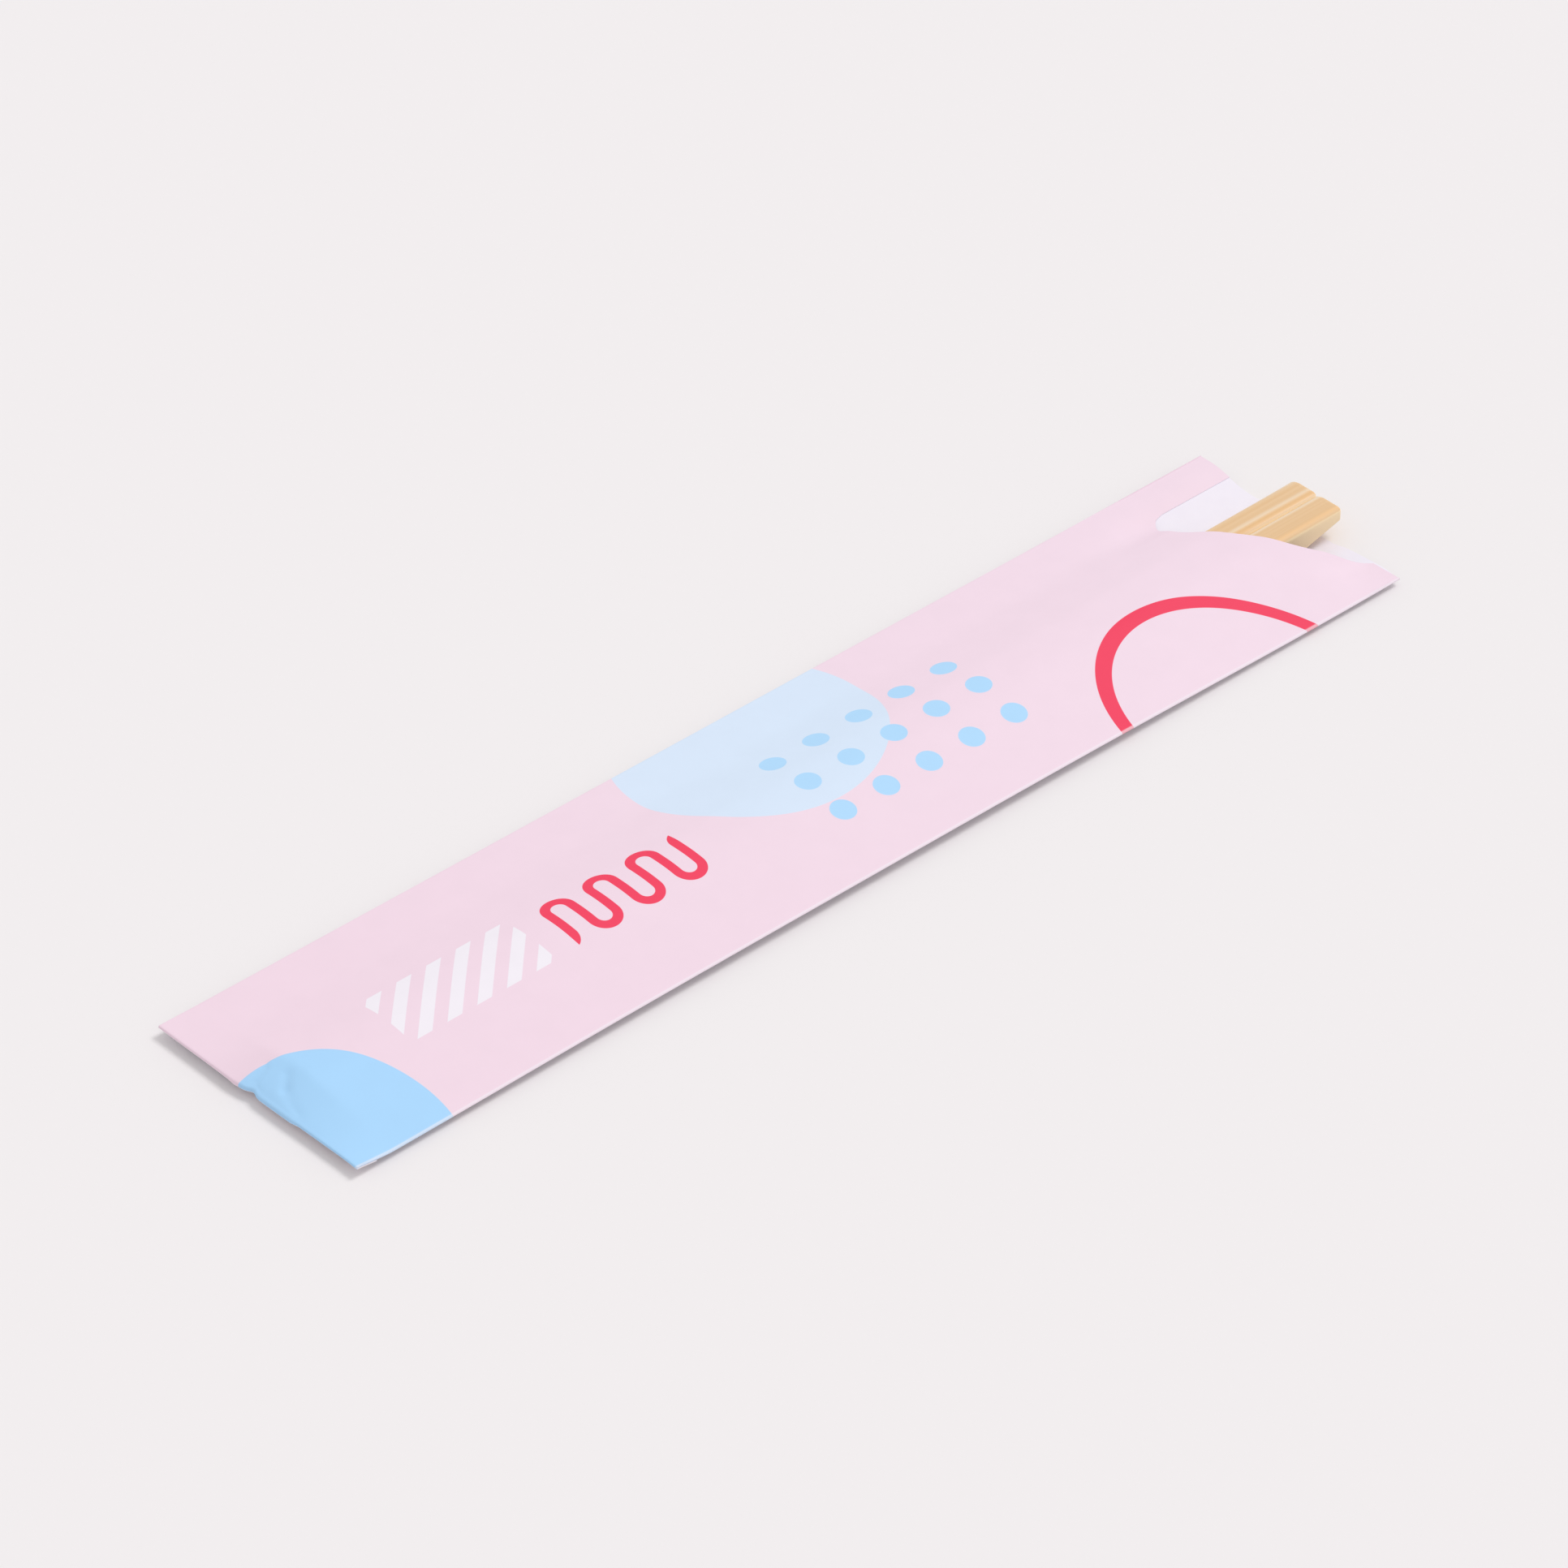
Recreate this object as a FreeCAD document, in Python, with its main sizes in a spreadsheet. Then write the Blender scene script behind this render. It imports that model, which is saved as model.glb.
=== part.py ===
import FreeCAD, Part
import math
import os

import Sketcher

# A pair of disposable bamboo chopsticks lying in a folded paper sleeve, in millimetres.
# X runs along the sleeve from its closed end to its open end, Y from front to back, Z up.
# The origin is under the middle of the whole, on the surface that the sleeve lies on.

SIZES = {
    # The sticks: rounded square in section, thinner at the tip, flat along their underside
    # until the head, where the underside slants up to a thin end
    "stick_length": "210",
    "head_width": "5.35",
    "head_height": "5.0",
    "head_corner": "1.6",
    "slant_length": "10.2",
    "slant_rise": "2.6",
    "end_corner": "1.0",
    "head_end_round": "0.8",
    "tip_width": "3.4",
    "tip_height": "3.4",
    "tip_corner": "1.1",
    "tip_end_round": "0.8",
    # How the pair lies: side by side, a little to the front of the sleeve's middle line
    "pair_gap": "0.06",
    "pair_shift": "1.3",
    "tip_room": "6.5",
    "stand_out": "3.1",
    # The sheet, and the slack between it and the corners of the sticks
    "paper": "0.15",
    "slack": "0.1",
    # The flat tube is narrower where it bulges most
    "tail_width": "44",
    "shoulder_width": "43.7",
    "waist_width": "42.6",
    "mouth_width": "44",
    "waist_place": "117",
    # The side folds stand above the table, because the sheet springs open
    "fold_height": "1.8",
    "fold_depth": "0.3",
    "ridge_round": "22",
    # The glued lap reaches past the sticks on each side
    "lap_reach": "0.6",
    # The weight on the lap presses it level against the table by this much
    "rest_press": "0.02",
    # The closed end: pressed flat at its edge, open just before the tips, a flap turned under
    "shoulder_lead": "0.4",
    "tail_press": "0.1",
    "tail_seal": "0.6",
    "flap_length": "4.5",
    "flap_margin": "1.2",
    # The thumb notch in the upper panel, from the open end and from the middle line
    "notch_depth": "19.4",
    "notch_back": "15.5",
    "notch_front": "16.2",
    "notch_round": "4.4",
    # How far a cutting shape runs past the paper
    "cut_over": "1",
}

document = FreeCAD.newDocument("chopsticks_in_sleeve")
sizes_sheet = document.addObject("Spreadsheet::Sheet", "Sizes")
for row, (alias, amount) in enumerate(SIZES.items(), start=1):
    sizes_sheet.set(f"A{row}", alias)
    sizes_sheet.set(f"B{row}", amount)
    sizes_sheet.setAlias(f"B{row}", alias)
document.recompute()

# Lengths worked out from the cells, written as expressions
SLEEVE_LENGTH = "(Sizes.tip_room + Sizes.stick_length - Sizes.stand_out)"
WHOLE_LENGTH = "(Sizes.tip_room + Sizes.stick_length)"
SHOULDER_PLACE = "(Sizes.tip_room - Sizes.shoulder_lead)"
NOTHING = "(0 * Sizes.paper)"
PAIR_PITCH = "(Sizes.head_width + Sizes.pair_gap)"
SLANT_PLACE = "(Sizes.stick_length - Sizes.slant_length)"
LAP_HALF = f"({PAIR_PITCH} / 2 + Sizes.head_width / 2 + Sizes.lap_reach)"
LAP_FRONT = f"(-Sizes.pair_shift - {LAP_HALF})"
LAP_BACK = f"(-Sizes.pair_shift + {LAP_HALF})"
STICK_BED = "(2 * Sizes.paper - Sizes.rest_press)"


def along_stick(kind, place):
    """A size of the stick's section, at a place measured from the sleeve's closed end."""
    tip = f"Sizes.tip_{kind}"
    head = f"Sizes.head_{kind}"
    return f"({tip} + ({head} - {tip}) * ({place} - Sizes.tip_room) / Sizes.stick_length)"


def between(start, end, share):
    """A value part of the way from one expression to another."""
    return f"({start} + ({end} - {start}) * {share})"


class Station:
    """Where the sleeve is cut across, and the shape that its sheet has there."""

    def __init__(self, place, half_width, floor, corner_height, corner_round, stick_place):
        self.place = place
        self.half_width = half_width
        self.floor = floor
        self.corner_height = corner_height
        self.corner_round = corner_round
        half_pair = f"({PAIR_PITCH} / 2 + {along_stick('width', stick_place)} / 2)"
        self.corner_front = f"(-Sizes.pair_shift - {half_pair} + {corner_round})"
        self.corner_back = f"(-Sizes.pair_shift + {half_pair} - {corner_round})"


def full_station(place, width):
    """A station where the sheet lies over the corners of both sticks."""
    corner = along_stick("corner", place)
    corner_height = f"({STICK_BED} + {along_stick('height', place)} - {corner})"
    return Station(place, f"({width} / 2)", "(-Sizes.rest_press)", corner_height, corner, place)


def tail_station(share):
    """A station between the closed edge, at 0, and the shoulder, at 1."""
    shoulder = full_station(SHOULDER_PLACE, "Sizes.shoulder_width")
    corner = shoulder.corner_round
    edge_height = f"(Sizes.fold_height + Sizes.tail_press - {corner} - Sizes.slack)"
    return Station(
        f"({SHOULDER_PLACE} * {share})",
        between("(Sizes.tail_width / 2)", shoulder.half_width, share),
        between("(Sizes.fold_height - 3 * Sizes.paper)", shoulder.floor, share),
        between(edge_height, shoulder.corner_height, share),
        corner,
        SHOULDER_PLACE,
    )


def plane(body, role):
    """A plane of the body's own origin."""
    return next(part for part in body.Origin.OriginFeatures if part.Role == role)


def new_sketch(body, name, role, offset):
    """A sketch on a plane of the body's origin, moved along the plane's normal."""
    sketch = body.newObject("Sketcher::SketchObject", name)
    sketch.AttachmentSupport = [(plane(body, role), "")]
    sketch.MapMode = "FlatFace"
    sketch.setExpression("AttachmentOffset.Base.z", offset)
    return sketch


def point(x, y):
    """A point in a sketch."""
    return FreeCAD.Vector(x, y, 0)


class Outline:
    """Lines and arcs in a sketch, held in place by expressions of the sheet's cells."""

    START = 1
    END = 2
    CENTRE = 3

    def __init__(self, sketch):
        self.sketch = sketch

    def value(self, expression):
        """What an expression comes to now."""
        return float(self.sketch.evalExpression(expression))

    def at(self, x, y):
        """The point that two expressions give."""
        return point(self.value(x), self.value(y))

    def line(self, start, end):
        """A straight edge."""
        return self.sketch.addGeometry(Part.LineSegment(start, end), False)

    def arc(self, centre, start, end):
        """An arc that turns anticlockwise from start to end."""
        angles = [math.atan2(p.y - centre.y, p.x - centre.x) for p in (start, end)]
        circle = Part.Circle(centre, FreeCAD.Vector(0, 0, 1), (start - centre).Length)
        return self.sketch.addGeometry(Part.ArcOfCircle(circle, angles[0], angles[1]), False)

    def guide_circle(self, centre, radius):
        """A construction circle, placed and sized by expressions."""
        middle = self.at(*centre)
        circle = Part.Circle(middle, FreeCAD.Vector(0, 0, 1), self.value(radius))
        edge = self.sketch.addGeometry(circle, True)
        self.hold(edge, self.CENTRE, *centre)
        self.bind(Sketcher.Constraint("Radius", edge, self.value(radius)), radius)
        return edge

    def bind(self, constraint, expression):
        """A dimension whose value is an expression."""
        index = self.sketch.addConstraint(constraint)
        self.sketch.setExpression(f"Constraints[{index}]", expression)

    def hold_x(self, edge, end, x):
        """Holds a point of an edge at a distance from the sketch's upright axis."""
        self.bind(Sketcher.Constraint("DistanceX", -1, 1, edge, end, self.value(x)), x)

    def hold_y(self, edge, end, y):
        """Holds a point of an edge at a distance from the sketch's level axis."""
        self.bind(Sketcher.Constraint("DistanceY", -1, 1, edge, end, self.value(y)), y)

    def hold(self, edge, end, x, y):
        """Holds a point of an edge both ways."""
        self.hold_x(edge, end, x)
        self.hold_y(edge, end, y)

    def join(self, edge, end, other, other_end):
        """Makes two edges share an end."""
        self.sketch.addConstraint(Sketcher.Constraint("Coincident", edge, end, other, other_end))

    def smooth_join(self, edge, end, other, other_end):
        """Makes two edges share an end and a direction there."""
        self.sketch.addConstraint(Sketcher.Constraint("Tangent", edge, end, other, other_end))

    def touch(self, edge, other):
        """Makes a line touch a circle."""
        self.sketch.addConstraint(Sketcher.Constraint("Tangent", edge, other))


def flank_angle(fold, corner, radius):
    """The slope of a line from a side fold that lies on a circle round a stick's corner."""
    run = abs(corner.x - fold.x)
    rise = corner.y - fold.y
    return math.atan2(rise, run) + math.asin(radius / math.hypot(run, rise))


def ridge_centre(front, front_slope, back, back_slope, radius):
    """The middle of the arc that touches both flanks from below."""
    front_normal = (-math.sin(front_slope), math.cos(front_slope))
    back_normal = (math.sin(back_slope), math.cos(back_slope))
    front_reach = front_normal[0] * front.x + front_normal[1] * front.y - radius
    back_reach = back_normal[0] * back.x + back_normal[1] * back.y - radius
    scale = front_normal[0] * back_normal[1] - front_normal[1] * back_normal[0]
    x = (front_reach * back_normal[1] - front_normal[1] * back_reach) / scale
    y = (front_normal[0] * back_reach - front_reach * back_normal[0]) / scale
    return point(x, y), front_normal, back_normal


def upper_panel(outline, station, front, back, skin):
    """The upper panel's flanks, which lie on the sticks' corners, and the ridge between them."""
    radius = f"({station.corner_round} + Sizes.slack + {skin})"
    ridge_radius = f"(Sizes.ridge_round + {skin})"
    front_guide = outline.guide_circle((station.corner_front, station.corner_height), radius)
    back_guide = outline.guide_circle((station.corner_back, station.corner_height), radius)
    front_point = outline.at(*front)
    back_point = outline.at(*back)
    touch = outline.value(radius)
    front_corner = outline.at(station.corner_front, station.corner_height)
    back_corner = outline.at(station.corner_back, station.corner_height)
    front_slope = flank_angle(front_point, front_corner, touch)
    back_slope = flank_angle(back_point, back_corner, touch)
    reach = outline.value(ridge_radius)
    centre, front_normal, back_normal = ridge_centre(
        front_point, front_slope, back_point, back_slope, reach)
    front_end = centre + point(front_normal[0] * reach, front_normal[1] * reach)
    back_end = centre + point(back_normal[0] * reach, back_normal[1] * reach)
    front_flank = outline.line(front_point, front_end)
    ridge = outline.arc(centre, back_end, front_end)
    back_flank = outline.line(back_end, back_point)
    outline.smooth_join(front_flank, Outline.END, ridge, Outline.END)
    outline.smooth_join(ridge, Outline.START, back_flank, Outline.START)
    outline.touch(front_flank, front_guide)
    outline.touch(back_flank, back_guide)
    outline.bind(Sketcher.Constraint("Radius", ridge, reach), ridge_radius)
    outline.hold(front_flank, Outline.START, *front)
    outline.hold(back_flank, Outline.END, *back)
    return front_flank, back_flank


def rising_arc(outline, foot, fold, to_back):
    """The lower panel from the flat strip, which it leaves level, up to a side fold."""
    low = outline.at(*foot)
    high = outline.at(*fold)
    run = high.x - low.x
    rise = high.y - low.y
    centre = point(low.x, low.y + (run * run + rise * rise) / (2 * rise))
    edge = outline.arc(centre, low, high) if to_back else outline.arc(centre, high, low)
    outline.hold_x(edge, Outline.CENTRE, foot[0])
    return edge


def outer_section(body, name, station):
    """The outside of the sleeve at a station, with the step of the glued lap in front."""
    outline = Outline(new_sketch(body, name, "YZ_Plane", station.place))
    fold_top = "(Sizes.fold_height + Sizes.paper)"
    fold_bottom = "(Sizes.fold_height - Sizes.paper)"
    front = f"(-{station.half_width})"
    back = station.half_width
    low = station.floor
    step = f"({station.floor} + Sizes.paper)"
    front_flank, back_flank = upper_panel(
        outline, station, (front, fold_top), (back, fold_top), "Sizes.paper")
    back_fold = outline.line(outline.at(back, fold_top), outline.at(back, fold_bottom))
    back_rise = rising_arc(outline, (LAP_BACK, low), (back, fold_bottom), True)
    flat = outline.line(outline.at(LAP_BACK, low), outline.at(LAP_FRONT, low))
    lap_edge = outline.line(outline.at(LAP_FRONT, low), outline.at(LAP_FRONT, step))
    front_rise = rising_arc(outline, (LAP_FRONT, step), (front, fold_bottom), False)
    front_fold = outline.line(outline.at(front, fold_bottom), outline.at(front, fold_top))
    outline.join(back_flank, Outline.END, back_fold, Outline.START)
    outline.join(back_fold, Outline.END, back_rise, Outline.END)
    outline.join(back_rise, Outline.START, flat, Outline.START)
    outline.join(flat, Outline.END, lap_edge, Outline.START)
    outline.join(lap_edge, Outline.END, front_rise, Outline.END)
    outline.join(front_rise, Outline.START, front_fold, Outline.START)
    outline.join(front_fold, Outline.END, front_flank, Outline.START)
    outline.hold(back_fold, Outline.END, back, fold_bottom)
    outline.hold(flat, Outline.START, LAP_BACK, low)
    outline.hold(lap_edge, Outline.START, LAP_FRONT, low)
    outline.hold(lap_edge, Outline.END, LAP_FRONT, step)
    outline.hold(front_fold, Outline.START, front, fold_bottom)
    return outline.sketch


def inner_section(body, name, station):
    """The inside of the sleeve at a station, with the step of the glued lap at the back."""
    outline = Outline(new_sketch(body, name, "YZ_Plane", station.place))
    fold = "Sizes.fold_height"
    front = f"(Sizes.fold_depth - {station.half_width})"
    back = f"({station.half_width} - Sizes.fold_depth)"
    lap = f"({station.floor} + 2 * Sizes.paper)"
    single = f"({station.floor} + Sizes.paper)"
    front_flank, back_flank = upper_panel(
        outline, station, (front, fold), (back, fold), NOTHING)
    back_rise = rising_arc(outline, (LAP_BACK, single), (back, fold), True)
    lap_edge = outline.line(outline.at(LAP_BACK, single), outline.at(LAP_BACK, lap))
    flat = outline.line(outline.at(LAP_BACK, lap), outline.at(LAP_FRONT, lap))
    front_rise = rising_arc(outline, (LAP_FRONT, lap), (front, fold), False)
    outline.join(back_flank, Outline.END, back_rise, Outline.END)
    outline.join(back_rise, Outline.START, lap_edge, Outline.START)
    outline.join(lap_edge, Outline.END, flat, Outline.START)
    outline.join(flat, Outline.END, front_rise, Outline.END)
    outline.join(front_rise, Outline.START, front_flank, Outline.START)
    outline.hold(lap_edge, Outline.START, LAP_BACK, single)
    outline.hold(lap_edge, Outline.END, LAP_BACK, lap)
    outline.hold(flat, Outline.END, LAP_FRONT, lap)
    return outline.sketch


def flap_section(body, name, station):
    """The flap that is turned under the closed end, two layers below the lower panel."""
    outline = Outline(new_sketch(body, name, "YZ_Plane", station.place))
    top = "Sizes.fold_height"
    bottom = "(Sizes.fold_height - 3 * Sizes.paper)"
    front = f"(Sizes.flap_margin - {station.half_width})"
    back = f"({station.half_width} - Sizes.flap_margin)"
    low = f"({station.floor} - 2 * Sizes.paper)"
    lid = outline.line(outline.at(front, top), outline.at(back, top))
    back_edge = outline.line(outline.at(back, top), outline.at(back, bottom))
    back_rise = rising_arc(outline, (LAP_BACK, low), (back, bottom), True)
    flat = outline.line(outline.at(LAP_BACK, low), outline.at(LAP_FRONT, low))
    front_rise = rising_arc(outline, (LAP_FRONT, low), (front, bottom), False)
    front_edge = outline.line(outline.at(front, bottom), outline.at(front, top))
    outline.join(lid, Outline.END, back_edge, Outline.START)
    outline.join(back_edge, Outline.END, back_rise, Outline.END)
    outline.join(back_rise, Outline.START, flat, Outline.START)
    outline.join(flat, Outline.END, front_rise, Outline.END)
    outline.join(front_rise, Outline.START, front_edge, Outline.START)
    outline.join(front_edge, Outline.END, lid, Outline.START)
    outline.hold(lid, Outline.START, front, top)
    outline.hold(lid, Outline.END, back, top)
    outline.hold(back_edge, Outline.END, back, bottom)
    outline.hold(flat, Outline.START, LAP_BACK, low)
    outline.hold(flat, Outline.END, LAP_FRONT, low)
    outline.hold(front_edge, Outline.START, front, bottom)
    return outline.sketch


def loft(body, kind, name, sections):
    """A loft through sketches, which adds to the body or cuts it."""
    feature = body.newObject(f"PartDesign::{kind}Loft", name)
    feature.Profile = sections[0]
    feature.Sections = sections[1:]
    feature.Ruled = len(sections) == 2
    document.recompute()
    return feature


def notch_outline(body):
    """The thumb notch: straight at the back, round inside, slanting out to the front."""
    outline = Outline(new_sketch(body, "notch_outline", "XY_Plane", "Sizes.fold_height"))
    mouth = SLEEVE_LENGTH
    past = f"({SLEEVE_LENGTH} + Sizes.cut_over)"
    back = "Sizes.notch_back"
    front = "(-Sizes.notch_front)"
    middle = (f"({SLEEVE_LENGTH} - Sizes.notch_depth + Sizes.notch_round)",
              "(Sizes.notch_back - Sizes.notch_round)")
    centre = outline.at(*middle)
    corner = outline.at(mouth, front)
    radius = outline.value("Sizes.notch_round")
    reach = corner - centre
    slant = math.atan2(reach.y, reach.x) - math.acos(radius / reach.Length)
    foot = centre + point(radius * math.cos(slant), radius * math.sin(slant))
    crown = centre + point(0, radius)
    back_edge = outline.line(outline.at(past, back), crown)
    inner_round = outline.arc(centre, crown, foot)
    slanted_edge = outline.line(foot, corner)
    front_stop = outline.line(corner, outline.at(past, front))
    outer_stop = outline.line(outline.at(past, front), outline.at(past, back))
    outline.smooth_join(back_edge, Outline.END, inner_round, Outline.START)
    outline.smooth_join(inner_round, Outline.END, slanted_edge, Outline.START)
    outline.join(slanted_edge, Outline.END, front_stop, Outline.START)
    outline.join(front_stop, Outline.END, outer_stop, Outline.START)
    outline.join(outer_stop, Outline.END, back_edge, Outline.START)
    outline.sketch.addConstraint(Sketcher.Constraint("Horizontal", back_edge))
    outline.hold(back_edge, Outline.START, past, back)
    outline.hold_x(inner_round, Outline.CENTRE, middle[0])
    outline.bind(Sketcher.Constraint("Radius", inner_round, radius), "Sizes.notch_round")
    outline.hold(slanted_edge, Outline.END, mouth, front)
    outline.hold(front_stop, Outline.END, past, front)
    return outline.sketch


def rest_outline(body):
    """A rectangle wider and longer than the sleeve, on the level of the table."""
    outline = Outline(new_sketch(body, "rest_outline", "XY_Plane", NOTHING))
    side = "(Sizes.mouth_width / 2 + Sizes.cut_over)"
    corners = (
        ("(-Sizes.cut_over)", f"(-{side})"),
        (f"({SLEEVE_LENGTH} + Sizes.cut_over)", f"(-{side})"),
        (f"({SLEEVE_LENGTH} + Sizes.cut_over)", side),
        ("(-Sizes.cut_over)", side),
    )
    edges = []
    for index, corner in enumerate(corners):
        following = corners[(index + 1) % len(corners)]
        edges.append(outline.line(outline.at(*corner), outline.at(*following)))
    for index, edge in enumerate(edges):
        outline.join(edge, Outline.END, edges[(index + 1) % len(edges)], Outline.START)
        outline.hold(edge, Outline.START, *corners[index])
    return outline.sketch


def cut_away(body, name, sketch, upward):
    """Cuts all that lies above a sketch, or below it."""
    before = body.Shape.Volume
    feature = body.newObject("PartDesign::Pocket", name)
    feature.Profile = sketch
    feature.Type = "ThroughAll"
    feature.Reversed = upward
    document.recompute()
    if body.Shape.Volume >= before:
        raise RuntimeError(f"{name} cuts nothing")
    return feature


def new_body(label):
    """An empty body with its own label."""
    body = document.addObject("PartDesign::Body", label)
    body.Label = label
    return body


def paper_sleeve():
    """The folded sheet: a lens-shaped tube round the sticks, closed and flat at one end."""
    body = new_body("paper_sleeve")
    edge = tail_station("0")
    shoulder = full_station(SHOULDER_PLACE, "Sizes.shoulder_width")
    waist = full_station("Sizes.waist_place", "Sizes.waist_width")
    mouth = full_station(SLEEVE_LENGTH, "Sizes.mouth_width")
    shoulder_outside = outer_section(body, "shoulder_outside", shoulder)
    edge_outside = outer_section(body, "edge_outside", edge)
    waist_outside = outer_section(body, "waist_outside", waist)
    mouth_outside = outer_section(body, "mouth_outside", mouth)
    loft(body, "Additive", "length", [shoulder_outside, waist_outside, mouth_outside])
    loft(body, "Additive", "closed_end", [edge_outside, shoulder_outside])
    flap_limit = tail_station(f"(Sizes.flap_length / {SHOULDER_PLACE})")
    flap_start = flap_section(body, "flap_start", edge)
    flap_end = flap_section(body, "flap_end", flap_limit)
    loft(body, "Additive", "turned_flap", [flap_start, flap_end])
    seal = tail_station(f"(Sizes.tail_seal / {SHOULDER_PLACE})")
    seal_inside = inner_section(body, "seal_inside", seal)
    shoulder_inside = inner_section(body, "shoulder_inside", shoulder)
    waist_inside = inner_section(body, "waist_inside", waist)
    mouth_inside = inner_section(body, "mouth_inside", mouth)
    loft(body, "Subtractive", "hollow", [shoulder_inside, waist_inside, mouth_inside])
    loft(body, "Subtractive", "hollow_end", [seal_inside, shoulder_inside])
    cut_away(body, "thumb_notch", notch_outline(body), upward=True)
    cut_away(body, "level_rest", rest_outline(body), upward=False)
    body.setExpression("Placement.Base.x", f"-{WHOLE_LENGTH} / 2")
    return body


class StickSection:
    """The rounded rectangle that a stick shows where it is cut across."""

    def __init__(self, place, width, low, high, corner):
        self.place = place
        self.side = f"({width} / 2)"
        self.low = low
        self.high = high
        self.corner = corner


def tapered_section(place):
    """The section between the tip, at 0, and the full head, at the stick's length."""
    sizes = {
        kind: between(f"Sizes.tip_{kind}", f"Sizes.head_{kind}", f"({place} / Sizes.stick_length)")
        for kind in ("width", "height", "corner")
    }
    return StickSection(place, sizes["width"], NOTHING, sizes["height"], sizes["corner"])


def stick_sketch(body, name, section):
    """The sketch of a stick's section, held by its expressions."""
    outline = Outline(new_sketch(body, name, "YZ_Plane", section.place))
    reach = outline.value(section.side)
    low = outline.value(section.low)
    high = outline.value(section.high)
    radius = outline.value(section.corner)
    inner = reach - radius
    lower = low + radius
    upper = high - radius
    bottom_edge = outline.line(point(-inner, low), point(inner, low))
    back_edge = outline.line(point(reach, lower), point(reach, upper))
    top_edge = outline.line(point(inner, high), point(-inner, high))
    front_edge = outline.line(point(-reach, upper), point(-reach, lower))
    corners = (
        outline.arc(point(inner, lower), point(inner, low), point(reach, lower)),
        outline.arc(point(inner, upper), point(reach, upper), point(inner, high)),
        outline.arc(point(-inner, upper), point(-inner, high), point(-reach, upper)),
        outline.arc(point(-inner, lower), point(-reach, lower), point(-inner, low)),
    )
    edges = (bottom_edge, back_edge, top_edge, front_edge)
    for index, turn in enumerate(corners):
        following = edges[(index + 1) % len(edges)]
        outline.smooth_join(edges[index], Outline.END, turn, Outline.START)
        outline.smooth_join(turn, Outline.END, following, Outline.START)
        outline.bind(Sketcher.Constraint("Radius", turn, radius), section.corner)
    for edge in (bottom_edge, top_edge):
        outline.sketch.addConstraint(Sketcher.Constraint("Horizontal", edge))
    for edge in (back_edge, front_edge):
        outline.sketch.addConstraint(Sketcher.Constraint("Vertical", edge))
    outline.hold_y(bottom_edge, Outline.START, section.low)
    outline.hold_y(top_edge, Outline.START, section.high)
    outline.hold_x(back_edge, Outline.START, section.side)
    outline.hold_x(front_edge, Outline.START, f"(-{section.side})")
    return outline.sketch


def round_end(body, name, place, radius):
    """Rounds every edge of the stick's flat end at a place along it."""
    base = body.Tip
    end = body.Tip.evalExpression(place)
    names = [
        f"Edge{index}"
        for index, edge in enumerate(base.Shape.Edges, start=1)
        if all(abs(vertex.X - end) < 1e-6 for vertex in edge.Vertexes)
    ]
    feature = body.newObject("PartDesign::Fillet", name)
    feature.Base = (base, names)
    feature.setExpression("Radius", radius)
    document.recompute()
    return feature


def chopstick(label, side):
    """One stick: it tapers to its tip, its head slants up to a thin end, both ends are round."""
    body = new_body(label)
    end = StickSection(
        "Sizes.stick_length", "Sizes.head_width", "Sizes.slant_rise", "Sizes.head_height",
        "Sizes.end_corner")
    tip_sketch = stick_sketch(body, f"{label}_tip", tapered_section(NOTHING))
    slant_sketch = stick_sketch(body, f"{label}_slant", tapered_section(SLANT_PLACE))
    end_sketch = stick_sketch(body, f"{label}_end", end)
    loft(body, "Additive", f"{label}_taper", [slant_sketch, tip_sketch])
    loft(body, "Additive", f"{label}_slanted_head", [end_sketch, slant_sketch])
    round_end(body, f"{label}_head_end", "Sizes.stick_length", "Sizes.head_end_round")
    round_end(body, f"{label}_tip_end", NOTHING, "Sizes.tip_end_round")
    body.setExpression("Placement.Base.x", f"Sizes.tip_room - {WHOLE_LENGTH} / 2")
    body.setExpression("Placement.Base.y", f"{side} * {PAIR_PITCH} / 2 - Sizes.pair_shift")
    body.setExpression("Placement.Base.z", STICK_BED)
    return body


def check_document():
    """Stops the run if any object failed to build."""
    for item in document.Objects:
        if {"Invalid", "Error"} & set(item.State):
            raise RuntimeError(f"{item.Name} failed: {item.State}")


def write_parts(bodies):
    """Writes each piece that is whole and valid to its own file."""
    for body in bodies:
        if body.Shape.isNull() or not body.Shape.isValid():
            raise RuntimeError(f"{body.Label} has no valid shape")
    os.makedirs("parts", exist_ok=True)
    for body in bodies:
        body.Shape.exportStep(f"parts/{body.Label}.step")
        box = body.Shape.BoundBox
        print(f"{body.Label}: {len(body.Shape.Solids)} solid, {body.Shape.Volume:.1f} mm3,"
              f" {box.XLength:.2f} x {box.YLength:.2f} x {box.ZLength:.2f} mm")


BACK = "1"
FRONT = "-1"

pieces = [
    paper_sleeve(),
    chopstick("chopstick_back", BACK),
    chopstick("chopstick_front", FRONT),
]
document.recompute()
check_document()
write_parts(pieces)
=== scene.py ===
"""A pair of bamboo chopsticks in its printed paper sleeve, dressed for the camera.

The sleeve is one sheet of paper: a flat blank, folded in code round the two sticks,
with a lap glued along its underside, a tail turned under and a thumb notch at its mouth.
Sizes are in millimetres here, and become metres where a mesh is made.
"""
import logging
import math
from collections.abc import Iterator, Sequence
from contextlib import contextmanager
from dataclasses import dataclass, field
from enum import Enum

import bpy
import numpy as np
from mathutils import Matrix, Vector


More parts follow.
